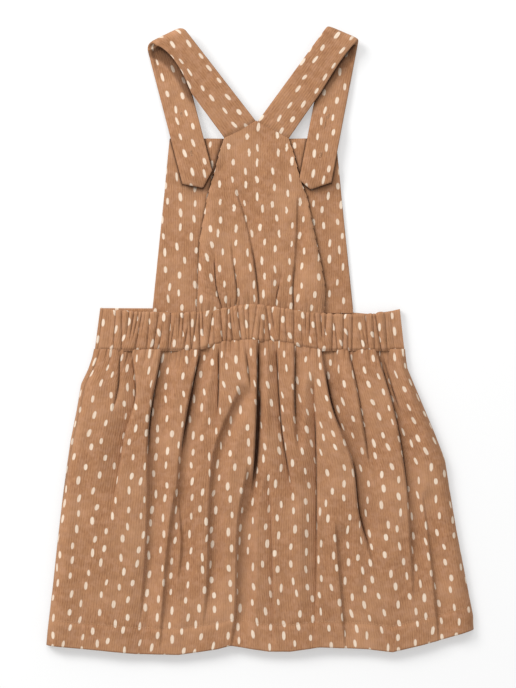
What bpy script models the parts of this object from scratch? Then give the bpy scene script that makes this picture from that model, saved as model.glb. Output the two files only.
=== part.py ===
"""A toddler's corduroy pinafore dress, laid flat on its front, with its back up.

The frame is in metres with +Z up. The origin is on the surface that the dress lies on, at the middle
of its outline. +Y runs from the hem to the straps, and +X to the right of the back as it is looked at.
The sizes and tables below are in millimetres. Each piece of cloth is a wall: a grid of points on its
middle surface, given its thickness by a Solidify modifier.
"""

import math
from collections import namedtuple

import bmesh
import bpy
import numpy as np
from mathutils import Vector

MM = 0.001
GAP = 0.3

# Cloth and finished widths
CLOTH = 1.2
STRAP_THICK = 2.4
CASING_THICK = 3.0
FRONT_BAND_THICK = 2.4

# Places that several pieces share
BACK_COLUMNS = 71
WAIST_Y = -8.2
BAND_TOP_Y = 25.4
BIB_TOP_Y = 161.6
NECK_POINT = (-3.4, 175.8)

# Buttons
BUTTON_RADIUS = 7.5
BUTTON_THICK = 2.6
BUTTON_RIM = 1.6
BUTTON_EDGE = 0.7
BUTTON_HOLE_RADIUS = 0.8
BUTTON_HOLE_PITCH = 3.0
BUTTON_SIDES = 20
BUTTONS_FROM_TIP = {"lower": 27.0, "upper": 59.0}
SPARE_BUTTON_HEIGHT = 0.2
# The cloth over a fastened button is lifted by its thickness as far as the inner radius,
# and by none past the outer
LIFT_INNER = 15.0
LIFT_OUTER = 36.0
LIFT_MARGIN = 0.2

# The sides of the skirt, from the waist seam (share 0) to the hem (share 1)
SkirtSide = namedtuple("SkirtSide", "share left right height")
SKIRT_SIDES = (
    SkirtSide(0.00, -132.8, 114.4, 6.6),
    SkirtSide(0.06, -137.6, 116.4, 11.4),
    SkirtSide(0.11, -143.2, 121.0, 12.4),
    SkirtSide(0.20, -146.8, 129.4, 12.6),
    SkirtSide(0.30, -151.5, 138.7, 12.4),
    SkirtSide(0.39, -154.6, 146.4, 12.0),
    SkirtSide(0.50, -158.0, 150.2, 11.2),
    SkirtSide(0.65, -162.1, 155.8, 10.0),
    SkirtSide(0.80, -165.8, 162.3, 8.6),
    SkirtSide(0.95, -170.0, 168.8, 7.4),
    SkirtSide(1.00, -171.0, 169.3, 7.0),
)
SKIRT_LEFT_LENGTH = 234.0
SKIRT_RIGHT_LENGTH = 221.5
# The back rolls up off the front over this width at its sides, and no trough reaches below the hollow's top
SIDE_ROLL = 16.0
HOLLOW_TOP = 5.8
# The back's sides come down off the waistband below the waist seam: from where, and over how far
BAND_CLEAR_BELOW = 14.0
BAND_CLEAR_OVER = 10.0

# How far the waist seam arches up and the hem hangs below a straight line, across the skirt
SeamShape = namedtuple("SeamShape", "across rise")
WAIST_ARCH = (
    SeamShape(0.0, 0.0), SeamShape(0.33, 0.0), SeamShape(0.42, 6.6),
    SeamShape(0.50, 7.8), SeamShape(0.60, 6.8), SeamShape(0.73, 0.0), SeamShape(1.0, 0.0),
)
HEM_DROP = (
    SeamShape(0.00, 0.0), SeamShape(0.11, -4.8), SeamShape(0.21, -9.3), SeamShape(0.31, -11.2),
    SeamShape(0.40, -7.8), SeamShape(0.43, -5.5), SeamShape(0.52, -11.2), SeamShape(0.57, -11.9),
    SeamShape(0.64, -9.3), SeamShape(0.75, -12.1), SeamShape(0.81, -15.3), SeamShape(0.88, -10.5),
    SeamShape(0.94, -5.7), SeamShape(1.0, 0.0),
)
BAND_TOP = (
    SeamShape(0.0, 0.0), SeamShape(0.10, -2.6), SeamShape(0.18, -2.8), SeamShape(0.40, -1.6),
    SeamShape(0.50, 2.6), SeamShape(0.60, -0.4), SeamShape(0.66, -3.4), SeamShape(0.94, -4.2),
    SeamShape(1.0, -1.2),
)

# The waistband's ends at its top, and the ruching that its elastic makes
BAND_TOP_LEFT = -128.4
BAND_TOP_RIGHT = 110.8
RUCHE_COUNT = 15.0
RUCHE_HEIGHT = 0.8
RUCHE_SLANT = 0.16
RUCHE_WANDER = 0.6
RUCHE_WANDER_PHASE = 9.0
RUCHE_EASE = 0.06
CASING_LIFT = 0.2
CASING_PUFF = 1.0

# The bib's corners at its top, and how far it widens on each side towards the waistband
BIB_LEFT = -72.8
BIB_RIGHT = 59.6
BIB_FLARE = 14.0

# A fold eases in from above its top, and out over a share of its length, down to a share left at its end
FOLD_EASE_ABOVE = 8.0
FOLD_EASE_IN = 12.0
FOLD_EASE_OUT = 0.4
FOLD_END_SHARE = 0.15
# Troughs between the gathers of the back skirt: three points on each, its depth and half its width
Fold = namedtuple("Fold", "top_x top_y mid_x mid_y end_x end_y depth half_width")
SKIRT_FOLDS = (
    Fold(-111.8, -10, -116, -40, -121, -62, 3.0, 6.0),
    Fold(-103.5, -16, -108, -80, -122, -160, 3.4, 6.5),
    Fold(-79.5, -10, -91.5, -72, -95, -238, 5.4, 6.0),
    Fold(-52.5, -10, -60, -72, -68, -200, 6.0, 6.0),
    Fold(-33.8, -4, -36.5, -50, -36, -72, 4.4, 5.0),
    Fold(-22.5, -46, -35, -80, -42, -124, 3.0, 7.0),
    Fold(-3.4, -2, -5.0, -84, -20, -238, 6.2, 6.0),
    Fold(12.6, -10, 18.5, -80, 27, -128, 4.4, 5.5),
    Fold(26.6, -6, 28, -50, 30, -86, 3.8, 5.0),
    Fold(40.4, -30, 45, -130, 43.5, -236, 4.4, 6.0),
    Fold(48.0, -10, 70, -86, 86, -176, 6.0, 6.5),
    Fold(70.2, -10, 83, -75, 91, -156, 3.6, 5.5),
    Fold(93.0, -10, 112, -82, 122, -206, 4.2, 6.0),
    Fold(97.0, -12, 108, -42, 122, -78, 4.0, 7.0),
)
# The upper back panel, from its neck corners down to the waistband
PANEL_CLEARANCE = 0.3
PANEL_EDGE_SHARE = 0.16
PanelSide = namedtuple("PanelSide", "y left right height")
PANEL_SIDES = (
    PanelSide(161.8, -29.6, 22.0, 6.2),
    PanelSide(150.0, -33.4, 26.0, 5.6),
    PanelSide(130.0, -38.6, 31.2, 5.6),
    PanelSide(115.0, -42.6, 36.6, 5.8),
    PanelSide(95.0, -46.3, 40.8, 6.2),
    PanelSide(80.0, -48.8, 44.0, 6.6),
    PanelSide(62.0, -49.6, 48.0, 7.0),
    PanelSide(45.0, -49.9, 51.0, 7.2),
    PanelSide(32.0, -50.3, 50.6, 7.0),
    PanelSide(25.0, -50.4, 49.4, 6.4),
)
PANEL_FOLDS = (
    Fold(-38.2, 66, -35.5, 46, -31.0, 28, 3.6, 5.0),
    Fold(-21.7, 70, -20.6, 48, -21.0, 28, 3.6, 4.6),
    Fold(-14.0, 108, -6.0, 70, -1.5, 28, 4.6, 5.0),
    Fold(15.8, 50, 12.0, 36, 11.8, 28, 3.0, 4.6),
    Fold(29.4, 108, 28.0, 60, 25.0, 28, 4.2, 5.0),
)

# The straps' widths, and the heights of their front runs on the bib and at the fold
STRAP_WIDTH = 25.6
STRAP_WIDTH_AT_SEAM = 27.8
STRAP_POINT = 9.0
STRAP_SEAM_EASE = 0.1
FOLD_RADIUS = 4.2
STRAP_ON_BIB = 4.45
STRAP_AT_FOLD = 3.0
STRAP_LOWERS_FROM = 68.0
STRAP_LOWERS_OVER = 40.0
# The straps: where the tip lies, the lean and length of the front run, and where the back run is sewn
Strap = namedtuple("Strap", "side turn tip_x tip_y lean front_length back_lean corner_x corner_y")
STRAPS = (
    Strap("left", -1.0, -48.6, 124.2, 13.5, 117.0, 38.6, -29.6, 161.8),
    Strap("right", 1.0, 42.0, 121.5, 10.9, 121.4, 35.6, 22.0, 161.8),
)
StrapRest = namedtuple("StrapRest", "run height")
STRAP_BACK_RUN = (
    StrapRest(0.0, 11.4), StrapRest(30.0, 10.2), StrapRest(62.0, 8.4), StrapRest(95.0, 6.6),
)


def clear_scene():
    for obj in list(bpy.data.objects):
        bpy.data.objects.remove(obj, do_unlink=True)


def smoothstep(value):
    value = np.clip(value, 0.0, 1.0)
    return value * value * (3.0 - 2.0 * value)


def read(table, at, column, key):
    """The column of a table at some values of its key column, which may run either way."""
    keys = [getattr(row, key) for row in table]
    values = [getattr(row, column) for row in table]
    if keys[0] > keys[-1]:
        keys, values = keys[::-1], values[::-1]
    return np.interp(at, keys, values)


def material(name, red, green, blue, roughness):
    made = bpy.data.materials.new(name)
    made.use_nodes = True
    shader = made.node_tree.nodes["Principled BSDF"]
    shader.inputs["Base Color"].default_value = (red, green, blue, 1.0)
    shader.inputs["Roughness"].default_value = roughness
    shader.inputs["Metallic"].default_value = 0.0
    return made


def cloth_wall(name, x, y, z, thickness, cloth):
    """A closed wall about the middle surface that the grids x, y and z give, in millimetres."""
    rows, columns = x.shape
    points = np.stack([x, y, z], axis=-1).reshape(-1, 3) * MM
    faces = [
        (r * columns + c, (r + 1) * columns + c, (r + 1) * columns + c + 1, r * columns + c + 1)
        for r in range(rows - 1)
        for c in range(columns - 1)
    ]
    mesh = bpy.data.meshes.new(name)
    mesh.from_pydata(points.tolist(), [], faces)
    mesh.materials.append(cloth)
    mesh.shade_smooth()
    wall = bpy.data.objects.new(name, mesh)
    bpy.context.scene.collection.objects.link(wall)
    thicken = wall.modifiers.new("Cloth thickness", "SOLIDIFY")
    thicken.thickness = thickness * MM
    thicken.offset = 0.0
    thicken.use_even_offset = True
    return wall


def fold_strength(folds, x, y):
    """The depth of the deepest fold at each point."""
    deepest = np.zeros(np.broadcast(x, y).shape)
    for fold in folds:
        span = fold.top_y - fold.end_y
        centre = np.interp(
            y, (fold.end_y, fold.mid_y, fold.top_y), (fold.end_x, fold.mid_x, fold.top_x)
        )
        ease_in = smoothstep((fold.top_y + FOLD_EASE_ABOVE - y) / FOLD_EASE_IN)
        ease_out = smoothstep((y - fold.end_y) / (FOLD_EASE_OUT * span) + FOLD_END_SHARE)
        trough = np.exp(-(((x - centre) / fold.half_width) ** 2))
        deepest = np.maximum(deepest, fold.depth * ease_in * ease_out * trough)
    return deepest


def skirt_plan(rows, columns, arch_share):
    """The outline of a skirt panel filled with a grid: x, y, and the share of the way to the hem.

    arch_share is how much of the arch of the waist seam the panel follows.
    """
    share = np.linspace(0.0, 1.0, rows)[:, None]
    across = np.linspace(0.0, 1.0, columns)[None, :]
    left = read(SKIRT_SIDES, share, "left", "share")
    right = read(SKIRT_SIDES, share, "right", "share")
    x = left + (right - left) * across
    length = SKIRT_LEFT_LENGTH + (SKIRT_RIGHT_LENGTH - SKIRT_LEFT_LENGTH) * across
    arch = arch_share * read(WAIST_ARCH, across, "rise", "across")
    drop = read(HEM_DROP, across, "rise", "across")
    y = WAIST_Y - share * length + (1.0 - share) * arch + share * drop
    return x, y, share + 0.0 * across


def skirt_front(cloth):
    x, y, _ = skirt_plan(rows=7, columns=25, arch_share=0.0)
    y = y - GAP / 2
    cloth_wall("skirt_front", x, y, np.full_like(x, CLOTH / 2), CLOTH, cloth)


def skirt_back(cloth):
    """The gathered panel: a low dome over the front panel, cut by troughs that run down from the waist."""
    x, y, share = skirt_plan(rows=10, columns=BACK_COLUMNS, arch_share=1.0)
    y = y - GAP
    over_band = FRONT_BAND_THICK + CLOTH / 2 + 1.5 * GAP
    off_band = smoothstep((y - WAIST_Y + BAND_CLEAR_BELOW) / BAND_CLEAR_OVER)
    edge = np.maximum(1.5 * CLOTH + GAP, over_band * off_band)
    dome = read(SKIRT_SIDES, share, "height", "share")
    folded = np.maximum(dome - fold_strength(SKIRT_FOLDS, x, y), HOLLOW_TOP + CLOTH / 2)
    side = np.minimum(x - x[:, :1], x[:, -1:] - x)
    rise = smoothstep(side / SIDE_ROLL + 0.05)
    cloth_wall("skirt_back", x, y, edge + (folded - edge) * rise, CLOTH, cloth)


def band_plan(rows, columns, arch_share, top_share):
    """The waistband's outline filled with a grid, from its top edge to the waist seam."""
    down = np.linspace(0.0, 1.0, rows)[:, None]
    across = np.linspace(0.0, 1.0, columns)[None, :]
    top = BAND_TOP_Y + top_share * read(BAND_TOP, across, "rise", "across")
    bottom = WAIST_Y + GAP / 2 + arch_share * read(WAIST_ARCH, across, "rise", "across")
    left = BAND_TOP_LEFT + (SKIRT_SIDES[0].left - BAND_TOP_LEFT) * down
    right = BAND_TOP_RIGHT + (SKIRT_SIDES[0].right - BAND_TOP_RIGHT) * down
    x = left + (right - left) * across
    y = top + (bottom - top) * down
    return x, y, across + 0.0 * down, down + 0.0 * across


def waistband_front(cloth):
    x, y, _, _ = band_plan(rows=3, columns=13, arch_share=0.0, top_share=0.0)
    z = np.full_like(x, FRONT_BAND_THICK / 2)
    cloth_wall("waistband_front", x, y, z, FRONT_BAND_THICK, cloth)


def waistband_back(cloth):
    """The elasticated casing, ruched by the elastic inside it."""
    x, y, across, down = band_plan(rows=4, columns=BACK_COLUMNS, arch_share=1.0, top_share=1.0)
    end = smoothstep(np.minimum(across, 1.0 - across) / RUCHE_EASE)
    wander = RUCHE_WANDER * np.sin(RUCHE_WANDER_PHASE * across)
    phase = 2.0 * math.pi * (RUCHE_COUNT * across + RUCHE_SLANT * down + wander)
    lowest = FRONT_BAND_THICK + GAP + CASING_THICK / 2 + CASING_LIFT
    z = lowest + (CASING_PUFF + RUCHE_HEIGHT * np.sin(phase)) * end
    cloth_wall("waistband_back", x, y + GAP / 2, z, CASING_THICK, cloth)


def strap_axes(strap):
    """Unit directions of the front run upwards, of the back run downwards, and out of the fold."""
    lean, back = math.radians(strap.lean), math.radians(strap.back_lean)
    up = np.array((strap.turn * math.sin(lean), math.cos(lean)))
    down = np.array((-strap.turn * math.sin(back), -math.cos(back)))
    out = (up - down) / np.linalg.norm(up - down)
    return up, down, out


def button_places(strap):
    up, _, _ = strap_axes(strap)
    tip = np.array((strap.tip_x, strap.tip_y))
    return {name: tip + up * distance for name, distance in BUTTONS_FROM_TIP.items()}


def button_lift(distance):
    """How far the cloth over a fastened button is lifted, by distance from the button's centre."""
    full = BUTTON_THICK + GAP + LIFT_MARGIN
    return full * (1.0 - smoothstep((distance - LIFT_INNER) / (LIFT_OUTER - LIFT_INNER)))


def bib_lift(x, y):
    lift = np.zeros_like(x)
    for strap in STRAPS:
        place = button_places(strap)["lower"]
        lift = np.maximum(lift, button_lift(np.hypot(x - place[0], y - place[1])))
    return lift


def bib(name, level, cloth):
    """One of the bib's two layers, lying at its own level and lifted where a button is under it."""
    down = np.linspace(0.0, 1.0, 13)[:, None]
    across = np.linspace(0.0, 1.0, 21)[None, :]
    left = BIB_LEFT - BIB_FLARE * down
    right = BIB_RIGHT + BIB_FLARE * down
    x = left + (right - left) * across
    y = BIB_TOP_Y + (BAND_TOP_Y + GAP - BIB_TOP_Y) * down + 0.0 * across
    cloth_wall(name, x, y, level + bib_lift(x, y), CLOTH, cloth)


def back_panel(cloth):
    """The upper back: pointed at the neck, gathered into the waistband, puffed clear of the bib."""
    rows, columns = 12, 29
    down = np.linspace(0.0, 1.0, rows)[:, None]
    across = np.linspace(0.0, 1.0, columns)[None, :]
    corner_y = PANEL_SIDES[0].y
    point = (NECK_POINT[1] - corner_y) * (1.0 - np.abs(2.0 * across - 1.0))
    top = corner_y + point
    width = np.interp(down, (0.0, 1.0), (corner_y, PANEL_SIDES[-1].y))
    left = read(PANEL_SIDES, width, "left", "y")
    right = read(PANEL_SIDES, width, "right", "y")
    x = left + (right - left) * across
    band_share = (x[-1:] - BAND_TOP_LEFT) / (BAND_TOP_RIGHT - BAND_TOP_LEFT)
    bottom = BAND_TOP_Y + read(BAND_TOP, band_share, "rise", "across") + 2.0 * GAP
    y = top + (bottom - top) * down
    height = read(PANEL_SIDES, width, "height", "y")
    edge = smoothstep(np.minimum(across, 1.0 - across) / PANEL_EDGE_SHARE)
    lowest = 2.5 * CLOTH + 2.0 * GAP + PANEL_CLEARANCE + bib_lift(x, y)
    z = np.maximum(height - fold_strength(PANEL_FOLDS, x, y) * edge, lowest)
    cloth_wall("back_panel", x, y, z, CLOTH, cloth)


def place_on_strap(strap, along, offset):
    """Where a point of the flat strap goes: flat on the bib, round the fold, or back along the top."""
    up, _, out = strap_axes(strap)
    side = np.array((up[1], -up[0]))
    tip = np.array((strap.tip_x, strap.tip_y))
    past_fold = max(along - strap.front_length, 0.0) / STRAP_BACK_RUN[-1].run
    offset = offset * (1.0 + (STRAP_WIDTH_AT_SEAM / STRAP_WIDTH - 1.0) * past_fold)
    flat = tip + up * along + side * offset
    beyond = float(np.dot(flat - tip - up * strap.front_length, out))
    turn = beyond / FOLD_RADIUS
    if beyond <= 0.0:
        on_bib = STRAP_ON_BIB + float(button_lift(abs(along - BUTTONS_FROM_TIP["lower"])))
        ease = float(smoothstep((along - STRAP_LOWERS_FROM) / STRAP_LOWERS_OVER))
        return (*flat, on_bib + (STRAP_AT_FOLD - on_bib) * ease)
    if turn < math.pi:
        flat = flat + out * (FOLD_RADIUS * math.sin(turn) - beyond)
        return (*flat, STRAP_AT_FOLD + FOLD_RADIUS * (1.0 - math.cos(turn)))
    run = beyond - math.pi * FOLD_RADIUS
    return (*(flat - out * (beyond + run)), float(read(STRAP_BACK_RUN, run, "height", "run")))


def strap_end(strap, offset, start):
    """How far along the strap its end is, at an offset from its middle: a gap short of the neck seam."""
    corner, point = np.array((strap.corner_x, strap.corner_y)), np.array(NECK_POINT)
    seam = (point - corner) / np.linalg.norm(point - corner)
    away = np.array((-seam[1], seam[0])) * math.copysign(1.0, seam[0])
    far = start + STRAP_BACK_RUN[-1].run
    near_gap, far_gap = (
        float(np.dot(np.array(place_on_strap(strap, along, offset)[:2]) - corner, away))
        for along in (start, far)
    )
    return start + (far - start) * (near_gap - GAP - STRAP_SEAM_EASE) / (near_gap - far_gap)


def strap_band(strap, cloth):
    """A turned tube of cloth: pointed on the bib, folded over at the shoulder, sewn to the back panel."""
    up, _, out = strap_axes(strap)
    side = np.array((up[1], -up[0]))
    columns = []
    for offset in np.linspace(-0.5, 0.5, 5) * STRAP_WIDTH:
        start = STRAP_POINT * abs(offset) / (STRAP_WIDTH / 2)
        turn_starts = strap.front_length - offset * np.dot(side, out) / np.dot(up, out)
        turn_ends = turn_starts + math.pi * FOLD_RADIUS / np.dot(up, out)
        stations = np.concatenate([
            np.linspace(start, turn_starts, 14)[:-1],
            np.linspace(turn_starts, turn_ends, 7)[:-1],
            np.linspace(turn_ends, strap_end(strap, offset, turn_ends), 9),
        ])
        columns.append([place_on_strap(strap, along, offset) for along in stations])
    grid = np.array(columns).transpose(1, 0, 2)
    cloth_wall(f"strap_{strap.side}", grid[..., 0], grid[..., 1], grid[..., 2], STRAP_THICK, cloth)


def button_mesh(plastic):
    """A four-hole button: a rimmed disc, turned about its axis, with its holes cut by a Boolean."""
    dished = BUTTON_RADIUS - BUTTON_RIM
    profile = (
        (0.0, BUTTON_THICK),
        (BUTTON_RADIUS - BUTTON_EDGE, BUTTON_THICK),
        (BUTTON_RADIUS, BUTTON_THICK - BUTTON_EDGE),
        (BUTTON_RADIUS, BUTTON_EDGE),
        (BUTTON_RADIUS - BUTTON_EDGE, 0.0),
        (dished, 0.0),
        (dished - BUTTON_EDGE, BUTTON_EDGE),
        (0.0, BUTTON_EDGE),
    )
    disc = bmesh.new()
    points = [disc.verts.new((r * MM, 0.0, z * MM)) for r, z in profile]
    edges = [disc.edges.new(pair) for pair in zip(points, points[1:])]
    bmesh.ops.spin(
        disc, geom=points + edges, cent=(0, 0, 0), axis=(0, 0, 1),
        angle=2.0 * math.pi, steps=BUTTON_SIDES, use_merge=True,
    )
    bmesh.ops.remove_doubles(disc, verts=disc.verts, dist=0.01 * MM)
    bmesh.ops.recalc_face_normals(disc, faces=disc.faces)
    blank = bpy.data.meshes.new("button blank")
    disc.to_mesh(blank)
    disc.free()
    blank.materials.append(plastic)
    button = bpy.data.objects.new("button blank", blank)

    drills = bmesh.new()
    for column in (-0.5, 0.5):
        for row in (-0.5, 0.5):
            made = bmesh.ops.create_cone(
                drills, cap_ends=True, segments=8, radius1=BUTTON_HOLE_RADIUS * MM,
                radius2=BUTTON_HOLE_RADIUS * MM, depth=3.0 * BUTTON_THICK * MM,
            )
            bmesh.ops.translate(
                drills, verts=made["verts"],
                vec=(column * BUTTON_HOLE_PITCH * MM, row * BUTTON_HOLE_PITCH * MM, 0.0),
            )
    cutter_mesh = bpy.data.meshes.new("button drills")
    drills.to_mesh(cutter_mesh)
    drills.free()
    cutter = bpy.data.objects.new("button drills", cutter_mesh)
    for helper in (button, cutter):
        bpy.context.scene.collection.objects.link(helper)
    cut = button.modifiers.new("Thread holes", "BOOLEAN")
    cut.operation = "DIFFERENCE"
    cut.object = cutter
    graph = bpy.context.evaluated_depsgraph_get()
    finished = bpy.data.meshes.new_from_object(button.evaluated_get(graph))
    finished.name = "button"
    for helper in (button, cutter):
        bpy.data.objects.remove(helper, do_unlink=True)
    return finished


def buttons(plastic):
    """Each strap has a fastened button under the bib and a spare one above the bib's top edge."""
    mesh = button_mesh(plastic)
    for strap in STRAPS:
        for name, place in button_places(strap).items():
            button = bpy.data.objects.new(f"button_{strap.side}_{name}", mesh)
            height = 0.0 if name == "lower" else SPARE_BUTTON_HEIGHT
            button.location = (place[0] * MM, place[1] * MM, height * MM)
            bpy.context.scene.collection.objects.link(button)


def centre_on_origin():
    """Parents every piece to one empty, moved so that the outline's middle stands over the origin."""
    graph = bpy.context.evaluated_depsgraph_get()
    pieces = list(bpy.context.scene.objects)
    corners = []
    for piece in pieces:
        shape = piece.evaluated_get(graph)
        corners += [shape.matrix_world @ Vector(corner) for corner in shape.bound_box]
    lowest, highest = np.min(corners, axis=0), np.max(corners, axis=0)
    dress = bpy.data.objects.new("dress", None)
    dress.location = (-(lowest[0] + highest[0]) / 2, -(lowest[1] + highest[1]) / 2, -lowest[2])
    bpy.context.scene.collection.objects.link(dress)
    for piece in pieces:
        piece.parent = dress


def main():
    clear_scene()
    corduroy = material("printed corduroy", 0.479, 0.252, 0.137, 0.9)
    plastic = material("button plastic", 0.35, 0.2, 0.12, 0.35)
    skirt_front(corduroy)
    skirt_back(corduroy)
    waistband_front(corduroy)
    waistband_back(corduroy)
    bib("bib_front", CLOTH / 2, corduroy)
    bib("bib_facing", CLOTH / 2 + CLOTH + GAP, corduroy)
    back_panel(corduroy)
    for strap in STRAPS:
        strap_band(strap, corduroy)
    buttons(plastic)
    centre_on_origin()


main()
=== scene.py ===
import math
from collections import namedtuple
from functools import partial

import bmesh
import bpy
import numpy as np
from mathutils import Matrix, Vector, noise


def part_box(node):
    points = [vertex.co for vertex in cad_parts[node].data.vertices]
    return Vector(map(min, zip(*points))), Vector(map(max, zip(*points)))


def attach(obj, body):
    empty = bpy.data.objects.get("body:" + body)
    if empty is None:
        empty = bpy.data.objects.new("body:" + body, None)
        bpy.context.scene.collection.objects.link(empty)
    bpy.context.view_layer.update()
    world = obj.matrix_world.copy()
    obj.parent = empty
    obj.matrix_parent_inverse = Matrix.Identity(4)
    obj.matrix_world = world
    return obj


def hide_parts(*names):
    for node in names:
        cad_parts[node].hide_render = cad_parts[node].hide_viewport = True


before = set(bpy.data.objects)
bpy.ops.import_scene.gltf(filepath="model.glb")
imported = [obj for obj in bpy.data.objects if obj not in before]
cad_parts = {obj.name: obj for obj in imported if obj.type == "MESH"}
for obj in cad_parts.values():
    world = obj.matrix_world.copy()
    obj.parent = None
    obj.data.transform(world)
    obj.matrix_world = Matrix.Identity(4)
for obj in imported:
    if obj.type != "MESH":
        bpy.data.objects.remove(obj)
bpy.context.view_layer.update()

# ======================================================================
# The skirt: two panels of printed needlecord, front and back, sewn together down both sides and gathered
# along the waist. The front lies flat on the paper. The back stands over it in uneven folds, deep and
# sharp under the waistband and soft at the hem, which is turned up inside and topstitched.
# ======================================================================

MM = 0.001
GAP = 0.3
CLOTH = 1.2
WAIST_Y = -8.2
FRONT_BAND_THICK = 2.4


def table(kind, *rows):
    """A table whose rows are all of one kind of named tuple."""
    return [kind(*row) for row in rows]


# The outline of the laid skirt, by the share of the way from the waist seam to the hem
SkirtSide = namedtuple("SkirtSide", "share left right height")
SKIRT_SIDES = table(
    SkirtSide,
    (0.00, -132.8, 114.4, 7.8),
    (0.06, -137.6, 116.4, 11.0),
    (0.11, -143.2, 121.0, 12.0),
    (0.20, -146.8, 129.4, 12.8),
    (0.30, -151.5, 138.7, 12.8),
    (0.39, -154.6, 146.4, 12.4),
    (0.50, -158.0, 150.2, 11.8),
    (0.65, -162.1, 155.8, 10.8),
    (0.80, -165.8, 162.3, 9.8),
    (0.95, -170.0, 168.8, 8.8),
    (1.00, -171.0, 169.3, 8.4),
)
SKIRT_LEFT_LENGTH = 234.0
SKIRT_RIGHT_LENGTH = 221.5
SKIRT_CUT_WIDTH = 346.0
SKIRT_CUT_LENGTH = 238.0
SIDE_ROLL = 10.0
SIDE_SEAM_INSET = 4.4
HEM_DEPTH = 20.0

SeamShape = namedtuple("SeamShape", "across rise")
WAIST_ARCH = table(
    SeamShape,
    (0.0, 0.0), (0.33, 0.0), (0.42, 6.6),
    (0.50, 7.8), (0.60, 6.8), (0.73, 0.0), (1.0, 0.0),
)
HEM_DROP = table(
    SeamShape,
    (0.00, 0.0), (0.11, -4.8), (0.21, -9.3), (0.31, -11.2),
    (0.40, -7.8), (0.43, -5.5), (0.52, -11.2), (0.57, -11.9),
    (0.64, -9.3), (0.75, -12.1), (0.81, -15.3), (0.88, -10.5),
    (0.94, -5.7), (1.0, 0.0),
)

# The folds of the back: the main ones from left to right, then second slits beside three of them, then the
# wide ones near the hem. Each runs down from top to end through five evenly spaced places, x0 to x4. At its
# line the cloth drops by step, and comes back up over reach on its right (side 1) or its left (side -1).
# Between slit_top and slit_end the line is also pinched into a slit that deep.
Fold = namedtuple("Fold", "top end x0 x1 x2 x3 x4 step reach side slit slit_top slit_end")
SKIRT_FOLDS = table(
    Fold,
    (-9, -56, -112, -113, -113.5, -115.5, -118, 2.6, 6, 1, 2.0, -9, -48),
    (-10, -144, -103, -100, -109, -114.5, -120, 5.6, 12, -1, 1.0, -10, -50),
    (-8, -244, -79, -89, -90, -93, -98, 7.0, 14, 1, 6.5, -10, -80),
    (-6, -218, -48, -59, -66, -63.5, -69.6, 6.6, 12, 1, 7.5, -8, -80),
    (-6, -74, -33.6, -33.6, -33.8, -34.5, -35.2, 4.2, 8, -1, 3.0, -8, -50),
    (-40, -232, -17, -36.5, -41, -41.7, -45.6, 5.6, 12, 1, 0.0, -40, -60),
    (-2, -126, -2.4, -2.6, -3.4, -5, -7.6, 5.0, 7, 1, 9.0, -4, -112),
    (-106, -250, -11, -17.6, -19, -20, -24, 7.6, 14, 1, 0.0, -110, -120),
    (-8, -38, -12, -11.2, -10.2, -9.3, -8.4, 1.8, 5, 1, 1.6, -8, -34),
    (-8, -138, 12.6, 14.2, 17, 22.5, 29.4, 5.6, 10, -1, 3.0, -10, -100),
    (-6, -90, 27.2, 26.9, 26.8, 27.6, 30.5, 4.6, 8, 1, 4.0, -8, -56),
    (-34, -248, 42.2, 44, 44.4, 44, 42.4, 5.6, 9, -1, 1.5, -60, -150),
    (-8, -186, 48.8, 57, 73, 79, 93, 7.4, 13, 1, 8.5, -22, -62),
    (-8, -128, 70.2, 76.5, 81.5, 86, 91, 3.8, 8, 1, 1.2, -10, -90),
    (-8, -212, 92.6, 107, 115.5, 119.5, 122.5, 6.4, 13, 1, 2.6, -10, -120),
    (-8, -84, 96, 101.5, 107.5, 115, 125, 4.8, 9, 1, 3.0, -10, -50),
    (-2, -126, -1.2, -1.2, -1.8, -3.6, -6.4, 0.0, 5, 1, 9.0, -40, -106),
    (-6, -218, -47.2, -57.8, -64.6, -62.0, -68.2, 0.0, 5, 1, 5.5, -34, -76),
    (-8, -186, 49.2, 57.4, 73.4, 79.4, 93.4, 0.0, 5, 1, 6.5, -98, -154),
    (-120, -250, -84, -85, -87, -90, -93, 4.0, 11, -1, 0.0, -110, -120),
    (-96, -250, -62, -70, -75, -78, -80, 4.6, 12, 1, 0.0, -110, -120),
    (-110, -250, 6, 8, 9, 9.5, 10, 4.4, 13, -1, 0.0, -110, -120),
    (-150, -250, 60, 62, 64, 66, 68, 4.0, 12, 1, 0.0, -110, -120),
    (-120, -250, 128, 133, 137, 140, 143, 4.0, 12, 1, 0.0, -110, -120),
)
SKIRT_LOWEST = 3.1
STEP_EDGE = 1.7
# A fold that is rolled over comes back up late and round, by shares of its reach. One that hangs the other
# way comes back up slowly and nearly straight.
ROLLED_FROM = 0.4
ROLLED_OVER = 0.9
HANGING_OVER = 1.45
HANGING_CURVE = 1.25
# A fold grows over this run about its top, then fades over this share of its length to what is left
FOLD_GROWS = 16.0
FOLD_FADES = 0.35
FOLD_LEFT_AT_END = 0.1
SLIT_GROWS_BEFORE = 4.0
SLIT_GROWS = 14.0
SLIT_FADES = 26.0
SLIT_NARROW = 0.6
SLIT_WIDENS = 0.065
# Shade painted into the slits: a slit this deep gets all of it, and shallower ones a share along this curve
DARK_SLIT = 7.5
DARK_CURVE = 0.7
# What lies between the folds, from the widest to the narrowest
Ripple = namedtuple("Ripple", "height wide long layer")
SKIRT_RIPPLES = (Ripple(0.9, 26.0, 120.0, 1.0), Ripple(0.5, 11.0, 80.0, 2.0))
FRONT_RIPPLE = Ripple(1.1, 13.0, 190.0, 5.0)
FRONT_FLAT_SIDES = 0.07
ROW_CROWDING = 0.3
# The edges that are sewn under the waistband go this far under it, and bend down over this run
SEAM_TUCK = 2.2
SEAM_TUCK_DROP = 0.9
SEAM_TUCK_RUN = 4.0
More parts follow.
